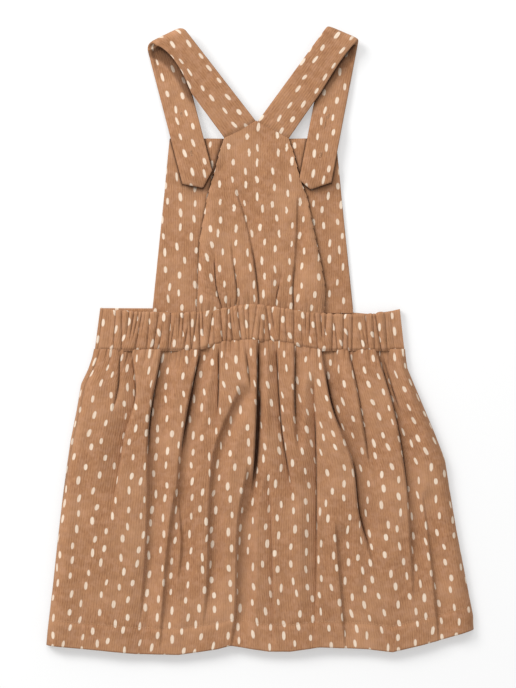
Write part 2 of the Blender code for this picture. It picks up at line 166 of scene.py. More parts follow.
# The rolled sides climb to the waistband's height over this run, which starts this far below its seam
SIDE_CLIMB = 10.0
SIDE_CLIMB_BELOW = 14.0
HEM_STEP = 0.5
HEM_STEP_RUN = 2.0
HEM_FURROW = 0.5
HEM_FURROW_WIDE = 1.1
SIDE_SEAM_ENDS = 0.55
SIDE_SEAM_SHOWS = 0.5
SIDE_SEAM_WIDE = 0.7
SIDE_SEAM_DEPTH = 1.4
# How much shade is painted into the side seam's furrow
SIDE_SEAM_DARK = 0.35

# The small gathers that the elastic makes in the waistband and at the seams above and below it. Each has
# its place as a share of the way across, its lean, its depth as a share of the deepest, where it starts and
# ends on the waistband as shares of the way down, and how far its tail runs past the seam. The first and the
# last are this far in from the ends.
Gather = namedtuple("Gather", "across lean depth top end tail")
GATHER_SEED = 12
GATHER_FIRST = 10.0
GATHER_LAST = 9.0
GATHER_PITCH = 4.5
GATHER_PITCHES = (0.55, 1.45)
GATHER_LEAN = 3.6
GATHER_LEAN_RUN = 30.0
GATHER_DEPTHS = (0.35, 1.0)
GATHER_TOPS = [-0.4] * 5 + [0.1]
GATHER_ENDS = [1.4] * 5 + [0.85]
GATHER_TAILS = (7.0, 26.0)
GATHER_DEPTH = 1.7
GATHER_SHARPNESS = 1.3
# How much shade is painted along the bottom of each gather, and how wide its line is
GATHER_DARK = 0.4
GATHER_LINE = 0.7
# Blender's noise stays within about 0.6 of zero
NOISE_TO_ONE = 1.6


def smoothstep(value):
    value = np.clip(value, 0.0, 1.0)
    return value * value * (3.0 - 2.0 * value)


def near(distance, reach):
    """1 at no distance, falling to nothing beyond about twice the reach on both sides."""
    return np.exp(-((distance / reach) ** 2))


def read(rows, at, column, key):
    """The column of a table at some values of its key column, which may run either way."""
    keys = [getattr(row, key) for row in rows]
    values = [getattr(row, column) for row in rows]
    if keys[0] > keys[-1]:
        keys, values = keys[::-1], values[::-1]
    return np.interp(at, keys, values)


def linear(colour):
    """An sRGB hex colour as linear RGBA."""
    parts = [int(colour[i : i + 2], 16) / 255 for i in (1, 3, 5)]
    return (*(c / 12.92 if c <= 0.04045 else ((c + 0.055) / 1.055) ** 2.4 for c in parts), 1.0)


def node(tree, kind, *inputs, **settings):
    """Adds a node. Its inputs come in order, or in one dict by name or number: values, sockets or nodes."""
    made = tree.nodes.new(kind)
    for key, value in settings.items():
        setattr(made, key, value)
    given = inputs[0] if inputs and isinstance(inputs[0], dict) else dict(enumerate(inputs))
    for key, value in given.items():
        if isinstance(value, bpy.types.Node):
            value = value.outputs[0]
        if isinstance(value, bpy.types.NodeSocket):
            tree.links.new(value, made.inputs[key])
        else:
            made.inputs[key].default_value = value
    return made


def new_material(name):
    """A material without nodes, and what adds a node to it."""
    made = bpy.data.materials.new(name)
    made.use_nodes = True
    made.node_tree.nodes.clear()
    return made, partial(node, made.node_tree)


# Needlecord: cotton with a fine cut pile in ribs, which looks matt, soft and slightly mottled, with light
# ribs and dark furrows, whose darkness is painted shade. The ribs are at their real pitch, and the pile's
# streaks are drawn coarser than real fibres. The print is oval dabs of cream, each a little different, in
# half-drop rows.
WALE = 1.8
SPOT_CELL_WIDE = 11.6
SPOT_CELL_LONG = 13.0
SPOT_HALF_WIDE = (0.95, 1.45)
SPOT_HALF_LONG = (2.35, 3.4)
SPOT_SLANT = 0.24
# How far a dab may be from the middle of its cell, as a share of the cell, and how square and ragged it is
SPOT_ROAM_LONG = 0.34
SPOT_ROAM_WIDE = 0.55
SPOT_SQUARENESS = 2.3
SPOT_RAGGED = 0.7
DICE_SEED = 3.5
RIB_WANDER = 2.4
TAN_RIB = "#A07553"
# The furrows' tan is the rib tan darkened as painted shade
TAN_FURROW = "#7A5238"
TAN_WORN = "#A87F5F"
TAN_FADED = "#A27A60"
CREAM = "#CFBEAB"
# The dark brown that painted shade turns the cloth towards, in creases and under edges
UNLIT = "#351D10"
SHEEN = "#E9CDB2"
# The noises in the cloth: bumps to a millimetre, and how fine their detail is
Noise = namedtuple("Noise", "scale detail roughness")
CORD_NOISES = {
    "wander": Noise(0.03, 1.0, 0.5), "mottle": Noise(0.11, 3.0, 0.5), "worn": Noise(0.022, 2.0, 0.5),
    "ragged": Noise(0.75, 2.0, 0.5), "faded": Noise(0.16, 2.0, 0.7),
}


def printed_needlecord():
    made, add = new_material("printed cotton needlecord")
    maths = "ShaderNodeMath"
    cut = add("ShaderNodeUVMap", uv_map="cut")
    place = add("ShaderNodeSeparateXYZ", cut)
    u, v = place.outputs["X"], place.outputs["Y"]
    wander, mottle, worn, ragged, faded = (
        add("ShaderNodeTexNoise", {"Vector": cut, "Scale": scale, "Detail": detail, "Roughness": rough})
        for scale, detail, rough in CORD_NOISES.values()
    )

    # The ribs run along the cut, and wander a little
    bent = add(maths, wander, RIB_WANDER, u, operation="MULTIPLY_ADD")
    turns = add(maths, bent, 2 * math.pi / WALE, operation="MULTIPLY")
    rib = add(maths, add(maths, turns, operation="SINE"), 0.5, 0.5, operation="MULTIPLY_ADD")

    # Pile: short streaks along the ribs
    streaks = add("ShaderNodeMapping", {"Vector": cut, "Scale": (1.3, 0.22, 1.0)})
    pile = add("ShaderNodeTexNoise", {"Vector": streaks, "Scale": 1.0, "Detail": 3.0})

    # Which dab of the print is nearest, and its own random numbers
    column = add(maths, u, SPOT_CELL_WIDE, operation="DIVIDE")
    column_number = add(maths, column, operation="FLOOR")
    odd = add(maths, column_number, 2.0, operation="FLOORED_MODULO")
    row = add(maths, v, SPOT_CELL_LONG, operation="DIVIDE")
    row = add(maths, odd, 0.5, row, operation="MULTIPLY_ADD")
    row_number = add(maths, row, operation="FLOOR")
    dice = []
    for throw in range(2):
        which = add("ShaderNodeCombineXYZ", column_number, row_number, DICE_SEED + throw)
        rolled = add("ShaderNodeTexWhiteNoise", {"Vector": which})
        dice += add("ShaderNodeSeparateXYZ", rolled.outputs["Color"]).outputs
    aside, along, tilt, wide, tall, ink = dice

    # How far the point is from its dab's middle, across and along, as shares of the dab's own size
    shares, off = [], {}
    for name, cell, number, size, roll, spread, half, half_roll in (
        ("along", row, row_number, SPOT_CELL_LONG, along, SPOT_ROAM_LONG, SPOT_HALF_LONG, tall),
        ("aside", column, column_number, SPOT_CELL_WIDE, aside, SPOT_ROAM_WIDE, SPOT_HALF_WIDE, wide),
    ):
        middle = add(maths, roll, spread, 0.5 - spread / 2, operation="MULTIPLY_ADD")
        inside = add(maths, cell, number, operation="SUBTRACT")
        inside = add(maths, inside, middle, operation="SUBTRACT")
        off[name] = add(maths, inside, size, operation="MULTIPLY")
        if name == "aside":
            slant = add(maths, tilt, SPOT_SLANT, -SPOT_SLANT / 2, operation="MULTIPLY_ADD")
            slid = add(maths, slant, off["along"], operation="MULTIPLY")
            off[name] = add(maths, off[name], slid, operation="SUBTRACT")
        reach = add(maths, half_roll, half[1] - half[0], half[0], operation="MULTIPLY_ADD")
        share = add(maths, off[name], reach, operation="DIVIDE")
        share = add(maths, share, operation="ABSOLUTE")
        shares.append(add(maths, share, SPOT_SQUARENESS, operation="POWER"))
    edge = add(maths, ragged, SPOT_RAGGED, -SPOT_RAGGED / 2, operation="MULTIPLY_ADD")
    edge = add(maths, add(maths, *shares, operation="ADD"), edge, operation="ADD")
    spot = add("ShaderNodeMapRange", {"Value": edge, "From Min": 1.4, "From Max": 0.65})
    # The ink is uneven, and reaches the ribs better than the furrows
    full = add(maths, ink, 0.16, 0.82, operation="MULTIPLY_ADD")
    taken = add(maths, rib, 0.05, 0.95, operation="MULTIPLY_ADD")
    taken = add(maths, full, taken, operation="MULTIPLY")
    spot = add(maths, spot, taken, operation="MULTIPLY")

    # The ground is painted darker in the furrows as shade, and is worn and faded in patches
    tone = add(maths, rib, 0.26, -0.38, operation="MULTIPLY_ADD")
    tone = add(maths, pile, 1.5, tone, operation="MULTIPLY_ADD")
    wear = add("ShaderNodeMapRange", {"Value": worn, "From Min": 0.42, "From Max": 0.72, "To Max": 0.6})
    fade = add("ShaderNodeMapRange", {"Value": faded, "From Min": 0.45, "From Max": 0.65, "To Max": 0.45})
    ground = linear(TAN_FURROW)
    for share, tint in ((tone, TAN_RIB), (wear, TAN_WORN), (fade, TAN_FADED)):
        ground = add("ShaderNodeMix", {0: share, 6: ground, 7: linear(tint)}, data_type="RGBA").outputs[2]
    shade = add(maths, mottle, 0.34, 0.84, operation="MULTIPLY_ADD")
    colour = add("ShaderNodeVectorMath", {0: ground, "Scale": shade}, operation="SCALE").outputs[0]
    # Over it goes the ink, and over that painted shade: the bottoms of creases and the cloth under edges are
    # painted towards an unlit brown
    painted_shade = add("ShaderNodeAttribute", attribute_name="painted_shade").outputs["Fac"]
    for share, tint in ((spot, CREAM), (painted_shade, UNLIT)):
        colour = add("ShaderNodeMix", {0: share, 6: colour, 7: linear(tint)}, data_type="RGBA").outputs[2]

    height = add(maths, pile, 0.5, rib, operation="MULTIPLY_ADD")
    relief = add("ShaderNodeBump", {"Height": height, "Strength": 0.4, "Distance": 0.3 * MM})
    shader = add("ShaderNodeBsdfPrincipled", {
        "Base Color": colour, "Normal": relief, "Roughness": 0.92, "Specular IOR Level": 0.2,
        "Sheen Weight": 0.18, "Sheen Roughness": 0.45, "Sheen Tint": linear(SHEEN),
    })
    add("ShaderNodeOutputMaterial", {"Surface": shader})
    return made


# The wrong side: the plain weave under the pile, unprinted, a flatter and paler tan. Its real threads are
# about 0.4 mm apart, and are drawn coarser here so that they don't shimmer.
WEAVE = 0.9
WEAVE_DARK = "#9C7151"
WEAVE_LIGHT = "#C39A76"


def wrong_side():
    made, add = new_material("plain weave of the wrong side")
    maths = "ShaderNodeMath"
    cut = add("ShaderNodeUVMap", uv_map="cut")
    place = add("ShaderNodeSeparateXYZ", cut)
    waves = []
    for thread in ("X", "Y"):
        turns = add(maths, place.outputs[thread], 2 * math.pi / WEAVE, operation="MULTIPLY")
        waves.append(add(maths, turns, operation="SINE"))
    over = add(maths, *waves, operation="MULTIPLY")
    mottle = add("ShaderNodeTexNoise", {"Vector": cut, "Scale": 0.2, "Detail": 3.0})
    tone = add(maths, over, 0.2, mottle, operation="MULTIPLY_ADD")
    ends = {6: linear(WEAVE_DARK), 7: linear(WEAVE_LIGHT)}
    colour = add("ShaderNodeMix", {0: tone, **ends}, data_type="RGBA")
    relief = add("ShaderNodeBump", {"Height": over, "Strength": 0.4, "Distance": 0.15 * MM})
    shader = add("ShaderNodeBsdfPrincipled", {
        "Base Color": colour.outputs[2], "Normal": relief, "Roughness": 0.95, "Specular IOR Level": 0.2,
    })
    add("ShaderNodeOutputMaterial", {"Surface": shader})
    return made


needlecord = printed_needlecord()
cloth_back = wrong_side()

# The tables are in millimetres about the fixed frame's own middle
lowest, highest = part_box("skirt_front")
SHIFT_X = lowest.x / MM - SKIRT_SIDES[-1].left
SHIFT_Y = highest.y / MM - (WAIST_Y - GAP / 2)


def needlecord_mesh(name, points, faces, places, painted_shade):
    """A mesh in the frame from points in millimetres. Each corner of a face has its place on the cut cloth,
    in the map named cut, and each point the shade painted on it, in a point attribute that the cloth's
    material reads."""
    mesh = bpy.data.meshes.new(name)
    mesh.from_pydata(((points + (SHIFT_X, SHIFT_Y, 0.0)) * MM).tolist(), [], faces)
    mesh.uv_layers.new(name="cut").uv.foreach_set("vector", np.array(places, np.float32).ravel())
    unlit = mesh.attributes.new("painted_shade", "FLOAT", "POINT")
    unlit.data.foreach_set("value", np.array(painted_shade, np.float32).ravel())
    mesh.materials.append(needlecord)
    mesh.shade_smooth()
    return mesh


def cloth_mesh(name, x, y, z, u, v, outside_up=True, painted_shade=0.0):
    """A grid of cloth whose points have those places on the cut."""
    rows, columns = x.shape
    corner = np.arange(rows * columns).reshape(rows, columns)
    quads = (corner[:-1, :-1], corner[1:, :-1], corner[1:, 1:], corner[:-1, 1:])
    faces = np.stack(quads, axis=-1).reshape(-1, 4)
    if not outside_up:
        faces = faces[:, ::-1]
    places = np.stack([u + 0.0 * x, v + 0.0 * x], axis=-1).reshape(-1, 2)[faces.reshape(-1)]
    points = np.stack([x, y, z], axis=-1).reshape(-1, 3)
    mesh = needlecord_mesh(name, points, faces.tolist(), places, painted_shade + 0.0 * x)
    mesh.materials.append(cloth_back)
    return mesh


def put_in_scene(name, data):
    """Makes an object of a mesh, curve, camera or light, and puts it in the scene."""
    made = bpy.data.objects.new(name, data)
    bpy.context.scene.collection.objects.link(made)
    return made


def as_mesh(thing):
    """A mesh of what an object's own data and modifiers make. The object is removed."""
    made = bpy.data.meshes.new_from_object(thing.evaluated_get(bpy.context.evaluated_depsgraph_get()))
    thing.modifiers.clear()
    bpy.data.objects.remove(thing)
    return made


def finish_piece(name, mesh, slot, *nodes, thickness=None):
    """Puts a mesh in the scene, gives cloth its thickness, and stands it in for its CAD nodes."""
    piece = put_in_scene(name, mesh)
    if thickness:
        wall = piece.modifiers.new("Cloth thickness", "SOLIDIFY")
        wall.thickness = thickness * MM
        wall.offset = 0.0
        wall.material_offset = 1
    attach(piece, "root")
    if nodes:
        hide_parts(*nodes)
    return piece


def uneven(x, y, wide, long, layer):
    """Smooth noise from about -1 to 1, with bumps that wide and long. Each layer has its own."""
    flat = np.stack([np.ravel(x) / wide, np.ravel(y) / long], axis=-1)
    return np.array([noise.noise((a, b, layer)) for a, b in flat]).reshape(np.shape(x)) * NOISE_TO_ONE


def gathers_across(width):
    """The gathers along a seam, in order from left to right, by chance."""
    dice = np.random.default_rng(GATHER_SEED)
    rows, at = [], GATHER_FIRST
    while at < width - GATHER_LAST:
        rows.append(Gather(
            at / width, dice.uniform(-GATHER_LEAN, GATHER_LEAN), dice.uniform(*GATHER_DEPTHS),
            dice.choice(GATHER_TOPS), dice.choice(GATHER_ENDS), dice.uniform(*GATHER_TAILS),
        ))
        at += GATHER_PITCH * dice.uniform(*GATHER_PITCHES)
    return rows


WAIST_WIDTH = SKIRT_SIDES[0].right - SKIRT_SIDES[0].left
gathers = gathers_across(WAIST_WIDTH)


def fold_line(fold, y):
    """Where a fold's line is at each y, on a Catmull-Rom curve through its five places."""
    stations = np.array([fold.x0, fold.x1, fold.x2, fold.x3, fold.x4])
    spans = len(stations) - 1
    before, after = 2 * stations[0] - stations[1], 2 * stations[-1] - stations[-2]
    stations = np.concatenate([[before], stations, [after]])
    along = np.clip((fold.top - y) / (fold.top - fold.end), 0.0, 1.0) * spans
    first = np.minimum(along.astype(int), spans - 1)
    t = along - first
    a, b, c, d = (stations[first + i] for i in range(4))
    return 0.5 * (2 * b + (c - a) * t + (2 * a - 5 * b + 4 * c - d) * t**2 + (3 * b - a - 3 * c + d) * t**3)


def fold_depth(folds, x, y):
    """How far the folds lower the cloth, by steps and pinched slits, and how much shade is painted into the
    slits.
    """
    steps, slits, painted_shade = (np.zeros(x.shape) for _ in range(3))
    for fold in folds:
        beside = x - fold_line(fold, y)
        toward = beside * fold.side
        if fold.side > 0:
            back_up = 1.0 - smoothstep((toward - ROLLED_FROM * fold.reach) / (ROLLED_OVER * fold.reach))
        else:
            back_up = np.clip(1.0 - np.maximum(toward, 0.0) / (HANGING_OVER * fold.reach), 0.0, 1.0)
            back_up = back_up**HANGING_CURVE
        sharp = smoothstep((toward + STEP_EDGE) / STEP_EDGE) * back_up
        fades = FOLD_FADES * (fold.top - fold.end)
        ease = smoothstep((fold.top + FOLD_GROWS / 2 - y) / FOLD_GROWS)
        ease = ease * smoothstep((y - fold.end) / fades + FOLD_LEFT_AT_END)
        steps = np.maximum(steps, fold.step * ease * sharp)
        if fold.slit:
            pinch = smoothstep((fold.slit_top + SLIT_GROWS_BEFORE - y) / SLIT_GROWS)
            pinch = pinch * smoothstep((y - fold.slit_end) / SLIT_FADES + 0.5)
            pinch = pinch * np.exp(-((beside / (SLIT_NARROW + SLIT_WIDENS * fold.slit)) ** 4))
            slits = np.maximum(slits, fold.slit * pinch)
            # Shade is painted into the slit, more for a deeper one
            painted_shade = np.maximum(painted_shade, pinch * min(fold.slit / DARK_SLIT, 1.0) ** DARK_CURVE)
    return steps + slits, painted_shade


def skirt_plan(rows, columns, arch_share):
    """The outline of a skirt panel filled with a grid: x, y, and the shares of the way down and across."""
    share = np.linspace(0.0, 1.0, rows)[:, None]
    # The rows are closer together at the seam and the hem
    share = share - ROW_CROWDING * np.sin(2 * math.pi * share) / (2 * math.pi)
    across = np.linspace(0.0, 1.0, columns)[None, :]
    left = read(SKIRT_SIDES, share, "left", "share")
    right = read(SKIRT_SIDES, share, "right", "share")
    x = left + (right - left) * across
    length = SKIRT_LEFT_LENGTH + (SKIRT_RIGHT_LENGTH - SKIRT_LEFT_LENGTH) * across
    arch = arch_share * read(WAIST_ARCH, across, "rise", "across")
    drop = read(HEM_DROP, across, "rise", "across")
    y = WAIST_Y - share * length + (1.0 - share) * arch + share * drop
    return x, y, share + 0.0 * across, across + 0.0 * share


def along_cloth(x, y, z, *others, columns, even_out):
    """The same surface with its columns along the grain: evenly spaced along the cloth of each row, with
    what one row's folds take up shared with the rows above and below it, over even_out rows."""
    step = np.hypot(np.diff(x, axis=1), np.diff(z, axis=1))
    run = np.concatenate([np.zeros((len(x), 1)), np.cumsum(step, axis=1)], axis=1)
    run = run / run[:, -1:]
    reach = int(3 * even_out)
    weights = np.exp(-0.5 * (np.arange(-reach, reach + 1) / even_out) ** 2)
    padded = np.concatenate([run[:1].repeat(reach, axis=0), run, run[-1:].repeat(reach, axis=0)])
    run = sum(w * padded[i : i + len(run)] for i, w in enumerate(weights / weights.sum()))
    even = np.linspace(0.0, 1.0, columns)
    rows = [[np.interp(even, at, line) for line in lines] for at, *lines in zip(run, x, y, z, *others)]
    layers = np.array(rows).transpose(1, 0, 2)
    return (*layers, even[None, :] + 0.0 * layers[0])


def rolled(from_side, roll):
    """How far a rounded edge has risen, from 0 at the side to 1 where the roll ends."""
    return np.sqrt(1.0 - (1.0 - np.clip(from_side / roll, 0.0, 1.0)) ** 2)


def skirt_back():
    x, y, share, across = skirt_plan(rows=118, columns=1500, arch_share=1.0)
    # Its top edge is tucked in under the waistband
    tuck = smoothstep(1.0 - share * SKIRT_CUT_LENGTH / SEAM_TUCK_RUN)
    y = y - GAP + SEAM_TUCK * tuck
    over_band = FRONT_BAND_THICK + CLOTH / 2 + 1.5 * GAP
    edge = over_band * smoothstep((y - WAIST_Y + SIDE_CLIMB_BELOW) / SIDE_CLIMB)
    edge = np.maximum(1.5 * CLOTH + GAP, edge)
    z = read(SKIRT_SIDES, share, "height", "share")
    for height, *bumps in SKIRT_RIPPLES:
        z = z + height * uneven(x, y, *bumps)
    drop, painted_shade = fold_depth(SKIRT_FOLDS, x, y)
    z = z - SEAM_TUCK_DROP * tuck - drop
    below = WAIST_Y + read(WAIST_ARCH, across, "rise", "across") - y
    for gather in gathers:
        beside = (across - gather.across) * WAIST_WIDTH + gather.lean * below / GATHER_LEAN_RUN
        fade = smoothstep(1.0 - below / gather.tail)
        z = z - GATHER_DEPTH * gather.depth * fade * np.exp(-np.abs(beside) / GATHER_SHARPNESS)
        # Shade is painted along the bottom of each gather
        painted_shade = np.maximum(painted_shade, GATHER_DARK * gather.depth * fade * near(beside, GATHER_LINE))
    # The hem is double, and its stitching pulls a shallow furrow
    up_from_hem = (1.0 - share) * SKIRT_CUT_LENGTH
    z = z + HEM_STEP * smoothstep((HEM_DEPTH - up_from_hem) / HEM_STEP_RUN)
    z = np.maximum(z - HEM_FURROW * near(up_from_hem - HEM_DEPTH, HEM_FURROW_WIDE), SKIRT_LOWEST)
    rise = rolled(np.minimum(x - x[:, :1], x[:, -1:] - x), SIDE_ROLL)
    # The side seam shows as a furrow just inside the left edge, down to half way, with shade painted into it
    inset = SIDE_SEAM_INSET * (1.0 - share / SIDE_SEAM_ENDS)
    seam = near(x - x[:, :1] - inset, SIDE_SEAM_WIDE) * (share < SIDE_SEAM_SHOWS)
    z = edge + (z - edge) * rise - SIDE_SEAM_DEPTH * seam * rise
    painted_shade = np.maximum(painted_shade, SIDE_SEAM_DARK * seam)
    x, y, z, painted_shade, even = along_cloth(x, y, z, painted_shade, columns=404, even_out=11.0)
    down = share[:, :1] * SKIRT_CUT_LENGTH
    mesh = cloth_mesh("skirt_back_panel", x, y, z, even * SKIRT_CUT_WIDTH, down, painted_shade=painted_shade)
    return finish_piece("skirt_back_panel", mesh, "corduroy", "skirt_back", thickness=CLOTH), (x, y, z)


def skirt_front():
    x, y, share, across = skirt_plan(rows=90, columns=600, arch_share=0.0)
    y = y - GAP / 2
    middle = smoothstep(np.minimum(across, 1.0 - across) / FRONT_FLAT_SIDES)
    height, *bumps = FRONT_RIPPLE
    z = CLOTH / 2 + middle * (1.0 - share) * height * np.maximum(uneven(x, y, *bumps), 0.0)
    x, y, z, even = along_cloth(x, y, z, columns=300, even_out=10.0)
    down = share[:, :1] * SKIRT_CUT_LENGTH
    mesh = cloth_mesh("skirt_front_panel", x, y, z, -even * SKIRT_CUT_WIDTH, down, outside_up=False)
    return finish_piece("skirt_front_panel", mesh, "corduroy", "skirt_front", thickness=CLOTH), (x, y, z)


back_skirt, back_skirt_grid = skirt_back()
front_skirt, front_skirt_grid = skirt_front()

# ======================================================================
# The waistband: a strip of the same needlecord folded in two along its top edge. The back is a casing for
# the elastic, ruched over the whole width between its two flat ends; the front lies flat under it.
# ======================================================================

BAND_TOP_Y = 25.4
BAND_TOP_LEFT = -128.4
BAND_TOP_RIGHT = 110.8
BAND_TOP = table(
    SeamShape,
    (0.0, 0.0), (0.05, -2.4), (0.12, -3.8), (0.28, -4.8),
    (0.34, -3.4), (0.39, -1.6), (0.50, 2.6), (0.60, -0.4),
    (0.66, -2.8), (0.72, -4.4), (0.81, -6.2), (0.89, -6.0),
    (0.95, -4.0), (1.0, -1.2),
)
FRONT_BAND_TOP = table(
    SeamShape,
    (0.0, 0.0), (0.72, -0.6), (0.84, -3.4), (0.905, -4.8),
    (1.0, -1.2),
)
BAND_CLOTH = 1.0
BAND_CUT_WIDTH = 300.0
BAND_FLAT_END = 12.5
BAND_FLAT_END_RUN = 8.0
# The end seams are furrows in the casing, these far in from its left and right ends
BAND_END_SEAMS = (2.8, 7.5)
BAND_END_SEAM_DEPTH = 0.7
BAND_END_SEAM_WIDE = 0.8
# The two faces of the casing's middle: how far each stands off the front waistband, how the ruching puffs
# and creases it, and how far its seam with the skirt pulls its outer face down
CASING_INNER = 0.15
CASING_INNER_PUFF = 0.5
CASING_OUTER = 1.9
CASING_RIPPLE = Ripple(0.35, 12.0, 16.0, 9.0)
CASING_SEAM_PULL = 1.8
CASING_SEAM_SHARE = 10.0
CASING_EASE = 0.1
RUCHE_PUFF = 2.6
RUCHE_DEPTH = 3.1
RUCHE_SHARPNESS = 0.95
# How much shade is painted along the bottom of each crease of the ruching, and how wide its line is
RUCHE_DARK = 0.5
RUCHE_LINE = 0.55
RUCHE_ENDS = 0.5
RUCHE_PULLS_TOP = 0.9
RUCHE_PULLS_SEAM = 0.4
# Where the casing and the strip lie on the printed cloth
CASING_ON_PRINT = (3.0, 5.0)
STRIP_ON_PRINT = 7.0
STRIP_RIPPLE = Ripple(0.1, 20.0, 30.0, 3.0)


def band_face(rows, columns, arch_share, top_shape):
    """The waistband's outline filled with a grid, from its top edge to the waist seam."""
    down = np.linspace(0.0, 1.0, rows)[:, None]
    across = np.linspace(0.0, 1.0, columns)[None, :]
    top = BAND_TOP_Y + read(top_shape, across, "rise", "across")
    bottom = WAIST_Y + GAP / 2 + arch_share * read(WAIST_ARCH, across, "rise", "across")
    left = BAND_TOP_LEFT + (SKIRT_SIDES[0].left - BAND_TOP_LEFT) * down
    right = BAND_TOP_RIGHT + (SKIRT_SIDES[0].right - BAND_TOP_RIGHT) * down
    x = left + (right - left) * across
    return x, top + (bottom - top) * down, across + 0.0 * down, down + 0.0 * across


def folded_band(x, y, inner, outer, fold_rows=7):
    """A strip that comes up its inner face, turns over at the top edge and goes down its outer face."""
    turn = np.linspace(-math.pi / 2, math.pi / 2, fold_rows + 2)[1:-1, None]
    middle, radius = (inner[:1] + outer[:1]) / 2, (outer[:1] - inner[:1]) / 2
    over_x = x[:1] + 0.0 * turn
    over_y = y[:1] + radius * np.cos(turn)
    over_z = middle + radius * np.sin(turn)
    x = np.concatenate([x[::-1], over_x, x])
    z = np.concatenate([inner[::-1], over_z, outer])
    y = np.concatenate([y[::-1], over_y, y])
    step = np.hypot(np.diff(y, axis=0), np.diff(z, axis=0)).mean(axis=1)
    return x, y, z, np.concatenate([[0.0], np.cumsum(step)])[:, None]


def waistband_back():
    x, y, across, down = band_face(rows=40, columns=1600, arch_share=1.0, top_shape=BAND_TOP)
    crease, painted_shade = np.zeros(x.shape), np.zeros(x.shape)
    for gather in gathers:
        beside = (across - gather.across) * WAIST_WIDTH + gather.lean * (down - 0.5)
        reach = smoothstep((down - gather.top) / RUCHE_ENDS) * smoothstep((gather.end - down) / RUCHE_ENDS)
        crease = np.maximum(crease, gather.depth * reach * np.exp(-np.abs(beside) / RUCHE_SHARPNESS))
        # Shade is painted along the bottom of the deeper creases
        painted_shade = np.maximum(painted_shade, RUCHE_DARK * (gather.depth * reach) ** 2 * near(beside, RUCHE_LINE))
    from_left, from_right = across * WAIST_WIDTH, (1.0 - across) * WAIST_WIDTH
    from_end = np.minimum(from_left, from_right)
    ruched = smoothstep((from_end - BAND_FLAT_END) / BAND_FLAT_END_RUN + 0.5)
    lowest = FRONT_BAND_THICK + GAP + BAND_CLOTH / 2
    inner = lowest + CASING_INNER + CASING_INNER_PUFF * ruched * (1.0 - crease)
    outer = lowest + CASING_OUTER + ruched * (RUCHE_PUFF - RUCHE_DEPTH * crease)
    height, *bumps = CASING_RIPPLE
    outer = outer + height * ruched * uneven(x, y, *bumps)
    for inset, from_side in zip(BAND_END_SEAMS, (from_left, from_right)):
        outer = outer - BAND_END_SEAM_DEPTH * near(from_side - inset, BAND_END_SEAM_WIDE)
    outer = outer - CASING_SEAM_PULL * smoothstep(1.0 - (1.0 - down) * CASING_SEAM_SHARE)
    outer = np.maximum(outer, inner + BAND_CLOTH + CASING_EASE)
    y = y + GAP / 2 - RUCHE_PULLS_TOP * ruched * crease * (1.0 - down)
    y = y + RUCHE_PULLS_SEAM * ruched * crease * down
    x, y, z, girth = folded_band(x, y, inner, outer)
    painted_shade = np.concatenate([np.zeros((len(x) - len(painted_shade), painted_shade.shape[1])), painted_shade * ruched])
    x, y, z, painted_shade, even = along_cloth(x, y, z, painted_shade, columns=540, even_out=5.0)
    u, v = even * BAND_CUT_WIDTH + CASING_ON_PRINT[0], girth + CASING_ON_PRINT[1]
    mesh = cloth_mesh("waistband_back_casing", x, y, z, u, v, painted_shade=painted_shade)
    piece = finish_piece(mesh.name, mesh, "corduroy", "waistband_back", thickness=BAND_CLOTH)


def waistband_front():
    x, y, _, down = band_face(rows=16, columns=200, arch_share=0.0, top_shape=FRONT_BAND_TOP)
    inner = np.full_like(x, BAND_CLOTH / 2)
    height, *bumps = STRIP_RIPPLE
    outer = FRONT_BAND_THICK - BAND_CLOTH / 2 + height * uneven(x, y, *bumps) * (down > 0)
    x, y, z, girth = folded_band(x, y - GAP / 2, inner, outer)
    mesh = cloth_mesh("waistband_front_strip", x, y, z, x + STRIP_ON_PRINT, girth)
    piece = finish_piece(mesh.name, mesh, "corduroy", "waistband_front", thickness=BAND_CLOTH)


waistband_back()
waistband_front()

# ======================================================================
# The bib: a front and a facing of the same cloth, cut alike, sewn together round the sides and top and
# turned out. It lies face down, so the facing shows. Its lower edge is sewn into the front waistband.
# ======================================================================

BIB_TOP_Y = 161.6
BIB_LEFT = -72.8
BIB_RIGHT = 59.6
BIB_FLARE = 14.0
# The facing's waves fade towards its edges over this run, and its edge seam dips by this share of them
BIB_RIPPLE = Ripple(0.45, 24.0, 60.0, 4.0)
BIB_FLAT_EDGES = 18.0
BIB_EDGE_DIP = 0.8
BIB_EDGE = 1.3
BIB_OVER_BAND = 3.6
BIB_ON_PRINT = (70.0, 20.0)
# Each strap's front run: the tip's place, its lean in degrees, its length to the fold, the lean of its back
# run, and the corner of the upper back that its seam starts from
Strap = namedtuple("Strap", "side turn tip_x tip_y lean front_length back_lean corner_x corner_y")
STRAPS = (
    Strap("left", -1.0, -48.6, 124.2, 13.5, 117.0, 38.6, -29.6, 161.8),
    Strap("right", 1.0, 42.0, 121.5, 10.9, 121.4, 35.6, 22.0, 161.8),
)
BUTTON_THICK = 2.6
BUTTONS_FROM_TIP = {"lower": 27.0, "upper": 59.0}
# Over a fastened button the cloth is lifted by all of it as far out as the inner distance
LIFT_INNER = 15.0
LIFT_OUTER = 36.0
LIFT_MARGIN = 0.2
StrapAxes = namedtuple("StrapAxes", "up side down out")


def strap_axes(strap):
    """Unit directions up the front run, to the right across it, down the back run, and out of the fold."""
    lean, back = math.radians(strap.lean), math.radians(strap.back_lean)
    up = np.array((strap.turn * math.sin(lean), math.cos(lean)))
    down = np.array((-strap.turn * math.sin(back), -math.cos(back)))
    return StrapAxes(up, np.array((up[1], -up[0])), down, (up - down) / np.linalg.norm(up - down))


def button_places(strap):
    tip, up = np.array((strap.tip_x, strap.tip_y)), strap_axes(strap).up
    return {name: tip + up * far for name, far in BUTTONS_FROM_TIP.items()}


